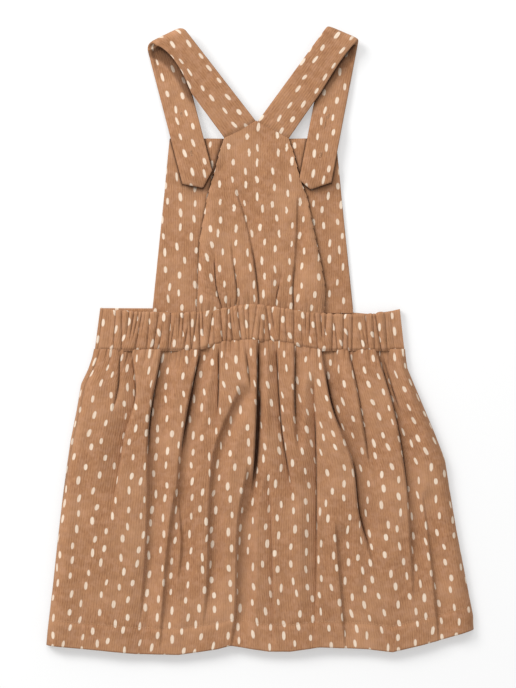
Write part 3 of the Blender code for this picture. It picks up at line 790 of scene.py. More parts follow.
def button_lift(distance):
    """How far the cloth over a fastened button is lifted, by distance from the button's centre."""
    full = BUTTON_THICK + GAP + LIFT_MARGIN
    return full * (1.0 - smoothstep((distance - LIFT_INNER) / (LIFT_OUTER - LIFT_INNER)))


def bib_lift(x, y):
    places = [button_places(strap)["lower"] for strap in STRAPS]
    return np.max([button_lift(np.hypot(x - place[0], y - place[1])) for place in places], axis=0)


def bib(name, replaced, level, waves, overlap, points, outside_up):
    """One layer of the bib, at a level, with waves that high, going that far over the waistband."""
    down = np.linspace(0.0, 1.0, points)[:, None]
    across = np.linspace(0.0, 1.0, points)[None, :]
    left = BIB_LEFT - BIB_FLARE * down
    right = BIB_RIGHT + BIB_FLARE * down
    x = left + (right - left) * across
    y = BIB_TOP_Y + (BAND_TOP_Y + GAP - overlap - BIB_TOP_Y) * down + 0.0 * across
    from_edge = np.minimum(np.minimum(x - left, right - x), BIB_TOP_Y - y)
    swell = 1.0 + uneven(x, y, *BIB_RIPPLE[1:])
    z = level + bib_lift(x, y) + waves * swell * smoothstep(from_edge / BIB_FLAT_EDGES)
    z = z - waves * BIB_EDGE_DIP * near(from_edge, BIB_EDGE)
    turn = 1.0 if outside_up else -1.0
    u, v = turn * x + BIB_ON_PRINT[0], y + BIB_ON_PRINT[1] * turn
    mesh = cloth_mesh(name, x, y, z, u, v, outside_up)
    piece = finish_piece(name, mesh, "corduroy", replaced, thickness=CLOTH)
    return piece


def darken_beside(piece, distance, reach, most):
    """Paints shade on a piece's cloth near an edge that lies over it, by its distance outside that edge."""
    flat = np.empty(3 * len(piece.data.vertices))
    piece.data.vertices.foreach_get("co", flat)
    x, y, _ = flat.reshape(-1, 3).T / MM
    unlit = piece.data.attributes["painted_shade"].data
    painted_shade = np.empty(len(unlit), np.float32)
    unlit.foreach_get("value", painted_shade)
    beside = most * near(np.maximum(distance(x - SHIFT_X, y - SHIFT_Y), 0.0), reach)
    unlit.foreach_set("value", np.maximum(painted_shade, beside).astype(np.float32))


bib("bib_front_layer", "bib_front", CLOTH / 2, waves=0.0, overlap=0.0, points=90, outside_up=False)
facing = bib(
    "bib_facing_layer", "bib_facing", CLOTH / 2 + CLOTH + GAP,
    waves=BIB_RIPPLE.height, overlap=BIB_OVER_BAND, points=190, outside_up=True,
)

# ======================================================================
# The upper back: one panel, pointed at the neck where the straps are sewn to it, its long sides turned in,
# and its wide lower edge gathered into the elastic casing, which throws folds up into it.
# ======================================================================

NECK_POINT = (-3.4, 175.8)
PanelSide = namedtuple("PanelSide", "y left right height")
PANEL_SIDES = table(
    PanelSide,
    (161.8, -29.6, 22.0, 6.2),
    (150.0, -33.4, 26.0, 6.2),
    (130.0, -38.6, 31.2, 6.6),
    (115.0, -42.6, 36.6, 6.7),
    (95.0, -46.3, 40.8, 7.0),
    (80.0, -48.8, 44.0, 7.3),
    (62.0, -49.6, 48.0, 7.7),
    (45.0, -49.9, 51.0, 8.1),
    (32.0, -50.3, 50.6, 8.0),
    (25.0, -50.4, 49.4, 7.0),
)
PANEL_FOLDS = table(
    Fold,
    (70, 22, -37, -36.8, -36, -33.5, -29.5, 1.6, 6, -1, 2.6, 64, 22),
    (78, 22, -23.5, -22.2, -20.4, -19.3, -21.4, 1.4, 5, 1, 2.4, 60, 22),
    (118, 22, -19, -11.5, -6.5, -3.2, -1, 2.4, 9, 1, 3.4, 74, 22),
    (54, 22, 16.6, 15, 13, 12, 14, 1.6, 5, -1, 2.4, 44, 22),
    (112, 22, 29.6, 28.8, 27.5, 25.4, 26, 2.2, 8, 1, 3.2, 60, 22),
)
PANEL_EASE = 1.16
PANEL_RIPPLE = Ripple(0.5, 16.0, 45.0, 6.0)
PANEL_ROLL = 5.5
PANEL_CLEAR = 0.3
PANEL_EDGE_CLEAR = 1.2
PANEL_GATHER_DEPTH = 1.5
PANEL_GATHER_SHARPNESS = 1.7
PANEL_ON_PRINT = 200.0
SEAM_STEPS = 0.8
SEAM_STEPS_START = 6.0
# The puckers above the left end of the gathers: small slanting waves within an oval
PUCKERS_AT = (-37.0, 42.0)
PUCKERS_SIZE = (8.0, 11.0)
PUCKER_HEIGHT = 0.45
PUCKER_PITCH = 3.8
PUCKER_SLANT = 0.12
PUCKER_RIPPLE = Ripple(0.5, 15.0, 9.0, 8.0)
# How dark the shadow painted on the facing beside the panel's sides is
PANEL_CONTACT = 0.8
# How far the shadow painted on the facing beside the panel's sides reaches. On the left it is wider above
# this height.
CONTACT_LEFT = 1.2
CONTACT_LEFT_WIDENS = 1.3
CONTACT_WIDENS_ABOVE = 118.0
CONTACT_WIDENS_OVER = 20.0
CONTACT_RIGHT = 0.75


def back_panel(rows, columns):
    down = np.linspace(0.0, 1.0, rows)[:, None]
    across = np.linspace(0.0, 1.0, columns)[None, :]
    corner_y = PANEL_SIDES[0].y
    top = corner_y + (NECK_POINT[1] - corner_y) * (1.0 - np.abs(2.0 * across - 1.0))
    level = corner_y + (PANEL_SIDES[-1].y - corner_y) * down
    left, right = (read(PANEL_SIDES, level, side, "y") for side in ("left", "right"))
    # Where the turned edge crosses the ribs it runs down each furrow a little, and steps over to the next
    for side in (left, right):
        side += SEAM_STEPS * ((side / WALE) % 1.0 - 0.5) * smoothstep((corner_y - level) / SEAM_STEPS_START)
    x = left + (right - left) * across
    band_share = (x[-1:] - BAND_TOP_LEFT) / (BAND_TOP_RIGHT - BAND_TOP_LEFT)
    bottom = BAND_TOP_Y + read(BAND_TOP, band_share, "rise", "across") + 2.0 * GAP
    y = top + (bottom - top) * down
    # The lower edge is tucked in under the casing, and the left one puckers just above it
    tuck = smoothstep(1.0 - (y - bottom) / SEAM_TUCK_RUN)
    y = y - SEAM_TUCK * tuck
    height, *bumps = PANEL_RIPPLE
    z = read(PANEL_SIDES, level, "height", "y") + height * uneven(x, y, *bumps) - SEAM_TUCK_DROP * tuck
    oval = [(at - middle) / size for at, middle, size in zip((x, y), PUCKERS_AT, PUCKERS_SIZE)]
    height, *bumps = PUCKER_RIPPLE
    waves = 2 * math.pi * (y / PUCKER_PITCH + PUCKER_SLANT * x + height * uneven(x, y, *bumps))
    z = z + PUCKER_HEIGHT * np.exp(-(oval[0] ** 2) - oval[1] ** 2) * np.sin(waves)
    drop, painted_shade = fold_depth(PANEL_FOLDS, x, y)
    z = z - drop
    for gather in gathers:
        beside = x - (SKIRT_SIDES[0].left + gather.across * WAIST_WIDTH)
        fade = gather.depth * smoothstep(1.0 - (y - bottom) / gather.tail)
        z = z - PANEL_GATHER_DEPTH * fade * np.exp(-np.abs(beside) / PANEL_GATHER_SHARPNESS)
        # Shade is painted along the bottom of each gather
        painted_shade = np.maximum(painted_shade, GATHER_DARK * fade * near(beside, GATHER_LINE))
    lowest = 2.5 * CLOTH + 2.0 * GAP + PANEL_CLEAR + bib_lift(x, y)
    rise = rolled(np.minimum(x - left, right - x), PANEL_ROLL)
    # The turned edge stands a little clear of the bib, and its shadow shows the steps
    z = lowest + PANEL_EDGE_CLEAR + np.maximum(z - lowest - PANEL_EDGE_CLEAR, 0.0) * rise
    x, y, z, painted_shade, even = along_cloth(x, y, z, painted_shade, columns=260, even_out=9.0)
    width = (right - left) * (1.0 + (PANEL_EASE - 1.0) * down)
    u = (even - 0.5) * width + PANEL_ON_PRINT
    mesh = cloth_mesh("upper_back_panel", x, y, z, u, -y, painted_shade=painted_shade)
    return finish_piece("upper_back_panel", mesh, "corduroy", "back_panel", thickness=CLOTH), (x, y, z)


def outside_panel(x, y):
    """How far a point of the facing is outside the panel, as a share of how far the painted shadow reaches.
    """
    wider = smoothstep((y - CONTACT_WIDENS_ABOVE) / CONTACT_WIDENS_OVER)
    past_left = read(PANEL_SIDES, y, "left", "y") - x
    past_right = x - read(PANEL_SIDES, y, "right", "y")
    return np.maximum(past_left / (CONTACT_LEFT + CONTACT_LEFT_WIDENS * wider), past_right / CONTACT_RIGHT)


panel, panel_grid = back_panel(rows=120, columns=700)
# Shadow is painted on the facing beside the panel's sides
darken_beside(facing, outside_panel, 1.0, PANEL_CONTACT)

# ======================================================================
# The straps: each a tube of needlecord turned right side out and pressed flat. It is sewn to the neck of
# the back, folds over at the shoulder and ends in a clipped point inside the bib, held by its button.
# ======================================================================

STRAP_WIDTH = 25.6
STRAP_WIDTH_AT_SEAM = 27.8
STRAP_THICK = 2.4
STRAP_SQUARENESS = 6
STRAP_RIPPLE = Ripple(0.25, 30.0, 14.0, 7.0)
FRONT_ROWS = 90
FOLD_ROWS = 24
BACK_ROWS = 60
STRAP_COLUMNS = 31
# The tube is thinner at its very tip, and swells to its whole thickness over a few rows
TIP_THIN = 0.45
TIP_ROWS = 3.0
# How far up the strap its clipped end is, by the offset from the strap's middle
StrapEnd = namedtuple("StrapEnd", "offset along")
STRAP_END = {
    "left": (StrapEnd(-12.8, 4.2), StrapEnd(2.2, -2.5), StrapEnd(12.8, 9.0)),
    "right": (StrapEnd(-12.8, 4.7), StrapEnd(-2.2, -1.1), StrapEnd(12.8, 7.4)),
}
STRAP_END_SLOPE = 0.88
# Shadow painted on the cloth right beside a strap's edges: how dark, how wide on the front run, and how wide
# on the bib
STRAP_CONTACT = 0.9
STRAP_CONTACT_WIDE = 1.7
STRAP_CONTACT_ON_BIB = 1.1
# How wide the shade painted into the hollow beside the back run is where it leaves the fold, and how dark it
# is
STRAP_HOLLOW = {"left": 10.0, "right": 6.5}
STRAP_HOLLOW_RUN = 62.0
STRAP_HOLLOW_NARROWS = 0.65
STRAP_HOLLOW_SOFT = 2.5
STRAP_HOLLOW_FADES = 10.0
STRAP_HOLLOW_DARK = {"left": 0.56, "right": 0.28}
STRAP_HOLLOW_LEAST = 0.02
EDGE_POINTS = 400
STRAP_SEAM_EASE = 0.1
FOLD_RADIUS = 4.2
# Under the fold the front run is dented, which leaves a dark hollow between the two
STRAP_DENT = {"left": 2.4, "right": 1.6}
STRAP_DENT_RUN = 30.0
STRAP_DENT_INSET = 1.5
STRAP_DENT_SOFT = 2.5
STRAP_ON_BIB = 4.45
STRAP_AT_FOLD = 3.6
STRAP_LOWERS_FROM = 68.0
STRAP_LOWERS_OVER = 40.0
STRAP_TIP_LIFT = 2.2
STRAP_TIP_LIFT_RUN = 40.0
STRAP_TUCK = 1.8
STRAP_TUCK_DROP = 2.2
STRAP_TUCK_RUN = 2.2 * STRAP_TUCK
# By how much the lower edge of the back run curls in and up as it leaves the fold, and over what run
STRAP_CURL = {"left": 4.6, "right": 1.2}
STRAP_CURL_RUN = 46.0
STRAP_CURL_EARLY = 0.7
STRAP_CURL_RISE = 0.45
# The left strap is twisted a little in its fold: how far its front run lies to the right of its straight
# line at the tip and at the fold, and how far its back run lies above its own where it leaves the fold
Twist = namedtuple("Twist", "tip fold back")
STRAP_TWIST = {"left": Twist(-0.5, -2.8, 2.4), "right": Twist(0.0, 0.0, 0.0)}
StrapRest = namedtuple("StrapRest", "run height")
STRAP_BACK_RUN = (
    StrapRest(0.0, 12.0), StrapRest(14.0, 11.5), StrapRest(34.0, 10.1), StrapRest(62.0, 8.4),
    StrapRest(95.0, 6.6),
)


def twisted_aside(strap, along):
    """How far to the right the twist moves the front run, by the distance from its tip."""
    twist = STRAP_TWIST[strap.side]
    return np.interp(along, (0.0, strap.front_length), (twist.tip, twist.fold))


def place_on_strap(strap, along, offset):
    """Where a point of the flat strap goes: flat on the bib, round the fold, or back along the top."""
    up, side, down, out = strap_axes(strap)
    tip = np.array((strap.tip_x, strap.tip_y))
    past_fold = max(along - strap.front_length, 0.0) / STRAP_BACK_RUN[-1].run
    offset = offset * (1.0 + (STRAP_WIDTH_AT_SEAM / STRAP_WIDTH - 1.0) * past_fold)
    flat = tip + up * along + side * offset
    beyond = float(np.dot(flat - tip - up * strap.front_length, out))
    turn = beyond / FOLD_RADIUS
    front_aside = side * float(twisted_aside(strap, along))
    back_aside = np.array((down[1], -down[0])) * strap.turn
    if beyond <= 0.0:
        on_bib = STRAP_ON_BIB + float(button_lift(abs(along - BUTTONS_FROM_TIP["lower"])))
        ease = float(smoothstep((along - STRAP_LOWERS_FROM) / STRAP_LOWERS_OVER))
        from_edge = STRAP_WIDTH / 2 - offset * strap.turn
        dent = STRAP_DENT[strap.side] * float(smoothstep((from_edge - STRAP_DENT_INSET) / STRAP_DENT_SOFT))
        dent *= float(smoothstep(-beyond / STRAP_DENT_SOFT) * smoothstep(1.0 + beyond / STRAP_DENT_RUN))
        return (*(flat + front_aside), on_bib + (STRAP_AT_FOLD - on_bib) * ease - dent)
    if turn < math.pi:
        over = float(smoothstep(turn / math.pi))
        aside = (1.0 - over) * front_aside + over * STRAP_TWIST[strap.side].back * back_aside
        flat = flat + out * (FOLD_RADIUS * math.sin(turn) - beyond) + aside
        return (*flat, STRAP_AT_FOLD + FOLD_RADIUS * (1.0 - math.cos(turn)))
    run = beyond - math.pi * FOLD_RADIUS
    height = float(read(STRAP_BACK_RUN, run, "height", "run"))
    flat = flat - out * (beyond + run)
    # The lower edge leaves the fold curled in towards the middle, and standing a little
    near_edge = max(offset * strap.turn / (STRAP_WIDTH / 2), 0.0) ** 2
    swell = math.sin(math.pi * min(run / STRAP_CURL_RUN, 1.0) ** STRAP_CURL_EARLY)
    curl = STRAP_CURL[strap.side] * near_edge * swell
    left_over = STRAP_TWIST[strap.side].back * max(1.0 - run / STRAP_BACK_RUN[-1].run, 0.0)
    return (*(flat + back_aside * (curl + left_over)), height + STRAP_CURL_RISE * curl)


def strap_end(strap, offset, start):
    """How far along the strap its end is, at an offset from its middle: a gap short of the neck seam."""
    corner, point = np.array((strap.corner_x, strap.corner_y)), np.array(NECK_POINT)
    seam = (point - corner) / np.linalg.norm(point - corner)
    away = np.array((-seam[1], seam[0])) * math.copysign(1.0, seam[0])
    far = start + STRAP_BACK_RUN[-1].run
    near_gap, far_gap = (
        float(np.dot(np.array(place_on_strap(strap, along, offset)[:2]) - corner, away))
        for along in (start, far)
    )
    return start + (far - start) * (near_gap - GAP - STRAP_SEAM_EASE) / (near_gap - far_gap)


def strap_middle(strap, offsets):
    """The strap's middle surface on a grid, and how far along the strap each of its points is."""
    up, side, _, out = strap_axes(strap)
    columns, lengths = [], []
    for offset in offsets:
        start = float(read(STRAP_END[strap.side], offset, "along", "offset"))
        turn_starts = strap.front_length - offset * np.dot(side, out) / np.dot(up, out)
        turn_ends = turn_starts + math.pi * FOLD_RADIUS / np.dot(up, out)
        stations = np.concatenate([
            np.linspace(start, turn_starts, FRONT_ROWS)[:-1],
            np.linspace(turn_starts, turn_ends, FOLD_ROWS)[:-1],
            np.linspace(turn_ends, strap_end(strap, offset, turn_ends) + STRAP_TUCK, BACK_ROWS),
        ])
        lengths.append(stations)
        columns.append([place_on_strap(strap, along, offset) for along in stations])
    middle, along = np.array(columns).transpose(1, 0, 2), np.array(lengths).T
    middle[..., 2] -= STRAP_TUCK_DROP * smoothstep(1.0 - (along[-1:] - along) / STRAP_TUCK_RUN)
    middle[..., 2] += STRAP_TIP_LIFT * smoothstep(1.0 - along / STRAP_TIP_LIFT_RUN)
    return middle, along


def strap_shade(strap, middle):
    """The shade painted on the front run right beside the edge of the back run, and in the hollow under the
    fold.
    """
    edge = middle[FRONT_ROWS + FOLD_ROWS - 2 :, -1 if strap.turn > 0 else 0, :2]
    even, own = np.linspace(0, 1, EDGE_POINTS), np.linspace(0, 1, len(edge))
    edge = np.stack([np.interp(even, own, line) for line in edge.T], axis=-1)
    apart = np.linalg.norm(middle[:FRONT_ROWS, :, None, :2] - edge, axis=-1)
    run = np.argmin(apart, axis=2) / EDGE_POINTS * STRAP_BACK_RUN[-1].run
    apart = apart.min(axis=2)
    hollow = STRAP_HOLLOW[strap.side] * (1.0 - STRAP_HOLLOW_NARROWS * run / STRAP_HOLLOW_RUN)
    inside = STRAP_HOLLOW_DARK[strap.side] * smoothstep((hollow - apart) / STRAP_HOLLOW_SOFT + 0.5)
    inside = inside * smoothstep((STRAP_HOLLOW_RUN - run) / STRAP_HOLLOW_FADES)
    beside = STRAP_CONTACT * near(apart, STRAP_CONTACT_WIDE) * (inside > STRAP_HOLLOW_LEAST)
    painted_shade = np.zeros(middle.shape[:2])
    painted_shade[:FRONT_ROWS] = np.maximum(inside, beside)
    return painted_shade


def strap_tube(strap):
    """The whole strap: its middle surface is given a face and an underside that meet in rounded edges."""
    share = np.sin(np.linspace(-math.pi / 2, math.pi / 2, STRAP_COLUMNS))
    offsets = STRAP_WIDTH / 2 * share
    middle, along = strap_middle(strap, offsets)
    normal = np.cross(np.gradient(middle, axis=1), np.gradient(middle, axis=0))
    normal /= np.linalg.norm(normal, axis=2, keepdims=True)
    half = STRAP_THICK / 2 * (1.0 - np.abs(share) ** STRAP_SQUARENESS) ** 0.5
    tip = np.clip(np.arange(len(along)) / TIP_ROWS, 0.0, 1.0)[:, None, None]
    half = half[None, :, None] * (TIP_THIN + (1.0 - TIP_THIN) * np.sqrt(tip * (2.0 - tip)))
    puff, wide, long, layer = STRAP_RIPPLE
    soft = uneven(along, offsets[None, :] + 0.0 * along, wide, long, layer + strap.turn)[..., None]
    front, back = middle + normal * half * (1.0 + puff * soft), middle - normal * half

    # Round the tube: over its face from one edge to the other, and back under
    loop = np.concatenate([front, back[:, -2:0:-1]], axis=1)
    rows, girth = loop.shape[:2]
    u = np.concatenate([offsets, 2 * offsets[-1] - offsets[-2:0:-1], [3 * offsets[-1]]])
    v = np.concatenate([along, along[:, -2:0:-1], along[:, :1]], axis=1)
    faces, places = [], []
    for r in range(rows - 1):
        for c in range(girth):
            ring = ((r, c), (r, c + 1), (r + 1, c + 1), (r + 1, c))
            faces.append(tuple(i * girth + j % girth for i, j in ring))
            places += [(u[j], v[i, j]) for i, j in ring]
    # Both ends are closed between the face and the underside
    last = len(offsets) - 1
    for r, step in ((0, -1), (rows - 1, 1)):
        for c in range(last):
            ring = list(dict.fromkeys((c, c + 1, girth - c - 1, (girth - c) % girth)))[::step]
            faces.append(tuple(r * girth + k for k in ring))
            places += [(u[k] if k <= last else -u[k], v[r, k]) for k in ring]
    painted_shade = np.pad(strap_shade(strap, middle), ((0, 0), (0, girth - len(offsets))))
    mesh = needlecord_mesh(f"strap_{strap.side}_tube", loop.reshape(-1, 3), faces, places, painted_shade)
    piece = finish_piece(mesh.name, mesh, "corduroy", f"strap_{strap.side}")
    return middle, normal, along


def outside_strap(strap, x, y):
    """How far a point of the facing is outside the strap's front run."""
    up, side, _, _ = strap_axes(strap)
    from_tip = np.stack([x - strap.tip_x, y - strap.tip_y])
    along = up @ from_tip
    offset = side @ from_tip - twisted_aside(strap, along)
    beyond = (read(STRAP_END[strap.side], offset, "along", "offset") - along) * STRAP_END_SLOPE
    return np.maximum(np.abs(offset) - STRAP_WIDTH / 2, beyond)


strap_surfaces = {strap.side: strap_tube(strap) for strap in STRAPS}
# Shadow is painted on the facing beside each strap's front run
for strap in STRAPS:
    darken_beside(facing, partial(outside_strap, strap), STRAP_CONTACT_ON_BIB, STRAP_CONTACT)

# ======================================================================
# The buttons: four of brown moulded plastic with a raised rim, a dished middle and four holes, lying face
# down. Each strap has two, sewn on with thread; the lower is through the bib and the upper is spare.
# ======================================================================

BUTTON_RADIUS = 7.5
BUTTON_RIM = 1.5
BUTTON_DISH = 0.75
BUTTON_HOLE = 0.8
BUTTON_HOLE_FROM_MIDDLE = 1.5
BUTTON_ROUND = 0.8
BUTTON_CROWN = 0.1
BUTTON_STEPS = 64
ROUND_STEPS = 7
SLOPE_FROM = 0.15
SLOPE_STEPS = 8
HOLE_STEPS = 24
SPARE_BUTTON_HEIGHT = 0.2
THREAD_RADIUS = 0.24
THREAD_STRANDS = (-0.34, 0.0, 0.34)
# One strand's way from hole to hole: how far across, as shares of the holes' distance from the middle, and
# how high, from the underside of the button (True) or from its dish
StrandPoint = namedtuple("StrandPoint", "across from_back above")
STRAND_SPREAD = 0.4
STRAND_HALF = (StrandPoint(1.0, True, 0.2), StrandPoint(1.0, False, 0.4), StrandPoint(0.7, False, -0.35))
PLASTIC_DARK = "#7F5B44"
PLASTIC_LIGHT = "#B48F70"


def moulded_plastic():
    """Brown plastic with the faint marbling of imitation horn, in a satin finish with fine scuffs."""
    made, add = new_material("moulded button plastic")
    place = add("ShaderNodeTexCoord").outputs["Object"]
    drawn_out = add("ShaderNodeMapping", {"Vector": place, "Scale": (160.0, 420.0, 300.0)})
    swirls = {"Vector": drawn_out, "Scale": 1.0, "Detail": 3.0, "Distortion": 1.2}
    marble = add("ShaderNodeTexNoise", swirls)
    ends = {6: linear(PLASTIC_DARK), 7: linear(PLASTIC_LIGHT)}
    colour = add("ShaderNodeMix", {0: marble, **ends}, data_type="RGBA")
    scuffs = add("ShaderNodeTexNoise", {"Vector": place, "Scale": 2400.0, "Detail": 2.0})
    rough = add("ShaderNodeMapRange", {"Value": scuffs, "To Min": 0.3, "To Max": 0.5})
    relief = add("ShaderNodeBump", {"Height": scuffs, "Strength": 0.1, "Distance": 0.05 * MM})
    shader = add("ShaderNodeBsdfPrincipled", {
        "Base Color": colour.outputs[2], "Roughness": rough, "Normal": relief, "Coat Weight": 0.15,
    })
    add("ShaderNodeOutputMaterial", {"Surface": shader})
    return made


def cotton_thread(name, dark, light):
    """Matt spun cotton in one dye, with a fuzz of darker fibre."""
    made, add = new_material(name)
    place = add("ShaderNodeTexCoord").outputs["Object"]
    fibre = add("ShaderNodeTexNoise", {"Vector": place, "Scale": 1900.0, "Detail": 2.0})
    colour = add("ShaderNodeMix", {0: fibre, 6: linear(dark), 7: linear(light)}, data_type="RGBA")
    relief = add("ShaderNodeBump", {"Height": fibre, "Strength": 0.3, "Distance": 0.1 * MM})
    shader = add("ShaderNodeBsdfPrincipled", {
        "Base Color": colour.outputs[2], "Normal": relief, "Roughness": 0.85, "Specular IOR Level": 0.2,
    })
    add("ShaderNodeOutputMaterial", {"Surface": shader})
    return made


plastic = moulded_plastic()
thread = cotton_thread("tan cotton thread", "#8A6145", "#C59C7A")
# This dark thread stands in for the shade under the turned sides of the back
edge_shade_thread = cotton_thread("dark thread standing for edge shade", "#2E1C12", "#543522")


def button_body():
    """The button about its own axis, face down: a turned profile, with its four holes cut by a Boolean."""
    reach = BUTTON_RADIUS - BUTTON_ROUND
    profile = [(0.0, BUTTON_THICK)]
    for middle_z, first in ((BUTTON_THICK - BUTTON_ROUND, math.pi / 2), (BUTTON_ROUND, 0.0)):
        for turn in np.linspace(first, first - math.pi / 2, ROUND_STEPS):
            r, z = reach + BUTTON_ROUND * math.cos(turn), middle_z + BUTTON_ROUND * math.sin(turn)
            profile.append((r, z))
    inner = reach - BUTTON_RIM
    for share in np.linspace(SLOPE_FROM, 1.0, SLOPE_STEPS):
        profile.append((inner + BUTTON_RIM * (1.0 - share), BUTTON_DISH * float(smoothstep(share))))
    profile.append((0.0, BUTTON_DISH + BUTTON_CROWN))
    turned = bmesh.new()
    corners = [turned.verts.new((r * MM, 0.0, z * MM)) for r, z in profile]
    outline = [turned.edges.new(pair) for pair in zip(corners, corners[1:])]
    bmesh.ops.spin(
        turned, geom=corners + outline, cent=(0, 0, 0), axis=(0, 0, 1), angle=2 * math.pi,
        steps=BUTTON_STEPS, use_merge=True,
    )
    bmesh.ops.remove_doubles(turned, verts=turned.verts, dist=0.001 * MM)
    bmesh.ops.recalc_face_normals(turned, faces=turned.faces)
    blank_mesh = bpy.data.meshes.new("button blank")
    turned.to_mesh(blank_mesh)
    turned.free()
    drills = bmesh.new()
    for across in (-BUTTON_HOLE_FROM_MIDDLE, BUTTON_HOLE_FROM_MIDDLE):
        for up in (-BUTTON_HOLE_FROM_MIDDLE, BUTTON_HOLE_FROM_MIDDLE):
            drill = bmesh.ops.create_cone(
                drills, cap_ends=True, segments=HOLE_STEPS, depth=3 * BUTTON_THICK * MM,
                radius1=BUTTON_HOLE * MM, radius2=BUTTON_HOLE * MM,
            )
            bmesh.ops.translate(drills, verts=drill["verts"], vec=(across * MM, up * MM, 0.0))
    drill_mesh = bpy.data.meshes.new("button drills")
    drills.to_mesh(drill_mesh)
    drills.free()
    blank, cutter = (put_in_scene(mesh.name, mesh) for mesh in (blank_mesh, drill_mesh))
    holes = blank.modifiers.new("Thread holes", "BOOLEAN")
    holes.object = cutter
    holes.solver = "EXACT"
    made = as_mesh(blank)
    bpy.data.objects.remove(cutter)
    return made


def button_thread():
    """The thread of one button: three strands through each pair of holes, round over the dish."""
    line = bpy.data.curves.new("button thread", "CURVE")
    line.dimensions = "3D"
    line.bevel_depth = THREAD_RADIUS * MM
    line.bevel_resolution = 2
    line.resolution_u = 6
    line.use_fill_caps = True
    for pair in (-BUTTON_HOLE_FROM_MIDDLE, BUTTON_HOLE_FROM_MIDDLE):
        for strand in THREAD_STRANDS:
            far = BUTTON_HOLE_FROM_MIDDLE - STRAND_SPREAD * abs(strand)
            half = [
                (across * far, (BUTTON_THICK if from_back else BUTTON_DISH) + above)
                for across, from_back, above in STRAND_HALF
            ]
            places = [(-y, z) for y, z in half] + half[::-1]
            spline = line.splines.new("NURBS")
            spline.points.add(len(places) - 1)
            for point, (y, z) in zip(spline.points, places):
                point.co = ((pair + strand) * MM, y * MM, z * MM, 1.0)
            spline.order_u = 3
            spline.use_endpoint_u = True
    return as_mesh(put_in_scene("button thread", line))


body, sewn = button_body(), button_thread()
for strap in STRAPS:
    for name, place in button_places(strap).items():
        both = bmesh.new()
        both.from_mesh(body)
        plastic_faces = len(both.faces)
        both.from_mesh(sewn)
        both.faces.ensure_lookup_table()
        for face in both.faces[plastic_faces:]:
            face.material_index = 1
        height = 0.0 if name == "lower" else SPARE_BUTTON_HEIGHT
        move = (np.array((*place, height)) + (SHIFT_X, SHIFT_Y, 0.0)) * MM
        lean = Matrix.Rotation(-strap.turn * math.radians(strap.lean), 3, "Z")
        bmesh.ops.rotate(both, verts=both.verts, matrix=lean)
        bmesh.ops.translate(both, verts=both.verts, vec=move)
        mesh = bpy.data.meshes.new(f"button_{strap.side}_{name}_four_hole")
        both.to_mesh(mesh)
        both.free()
        mesh.materials.clear()
        mesh.materials.append(plastic)
        mesh.materials.append(thread)
        mesh.shade_smooth()
        finish_piece(mesh.name, mesh, "buttons", f"button_{strap.side}_{name}")

# ======================================================================
# The stitching, in cotton: a row of topstitching round the hem, the thread that holds each button to its
# strap, the overcast edges of the buttonholes, and small dark stitches down the turned sides of the back,
# whose dark thread stands in for the shade under those edges.
# ======================================================================

HEM_PITCH = 2.7
HEM_STITCH = 2.0
STITCH_THICK = 0.42
# How far the hem's stitches stand off the middle of the cloth, at the back and at the front
HEM_OUTSIDE = {"back": 0.02, "front": 0.16}
HEM_SHORT_OF_SIDES = 6
STITCH_SWING = 0.09
STITCH_SIZES = (0.86, 1.1)
TACK_LONG = 3.4
TACK_ROWS = (-0.5, 0.0, 0.5)
TACK_PITCH = 0.8
TACK_STITCH = 1.3
TACK_CLEAR = 0.4
LOOSE_END = 10.0
LOOSE_END_CLEAR = 0.35
LOOSE_END_ASIDE = 1.2
BUTTONHOLE_HALF = 9.5
BUTTONHOLE_SIDE = 1.1
BUTTONHOLE_SUNK = 0.05
BUTTONHOLE_PITCH = 0.55
BUTTONHOLE_STITCH = 1.5
# The dark stitches down the turned sides of the back stand in for the shade under those edges
EDGE_SHADE_DASH = 1.2
EDGE_SHADE_THICK = 0.75
EDGE_SHADE_ASIDE = 0.45
EDGE_SHADE_DOWN = 0.55
EDGE_SHADE_ROWS = slice(12, -3)


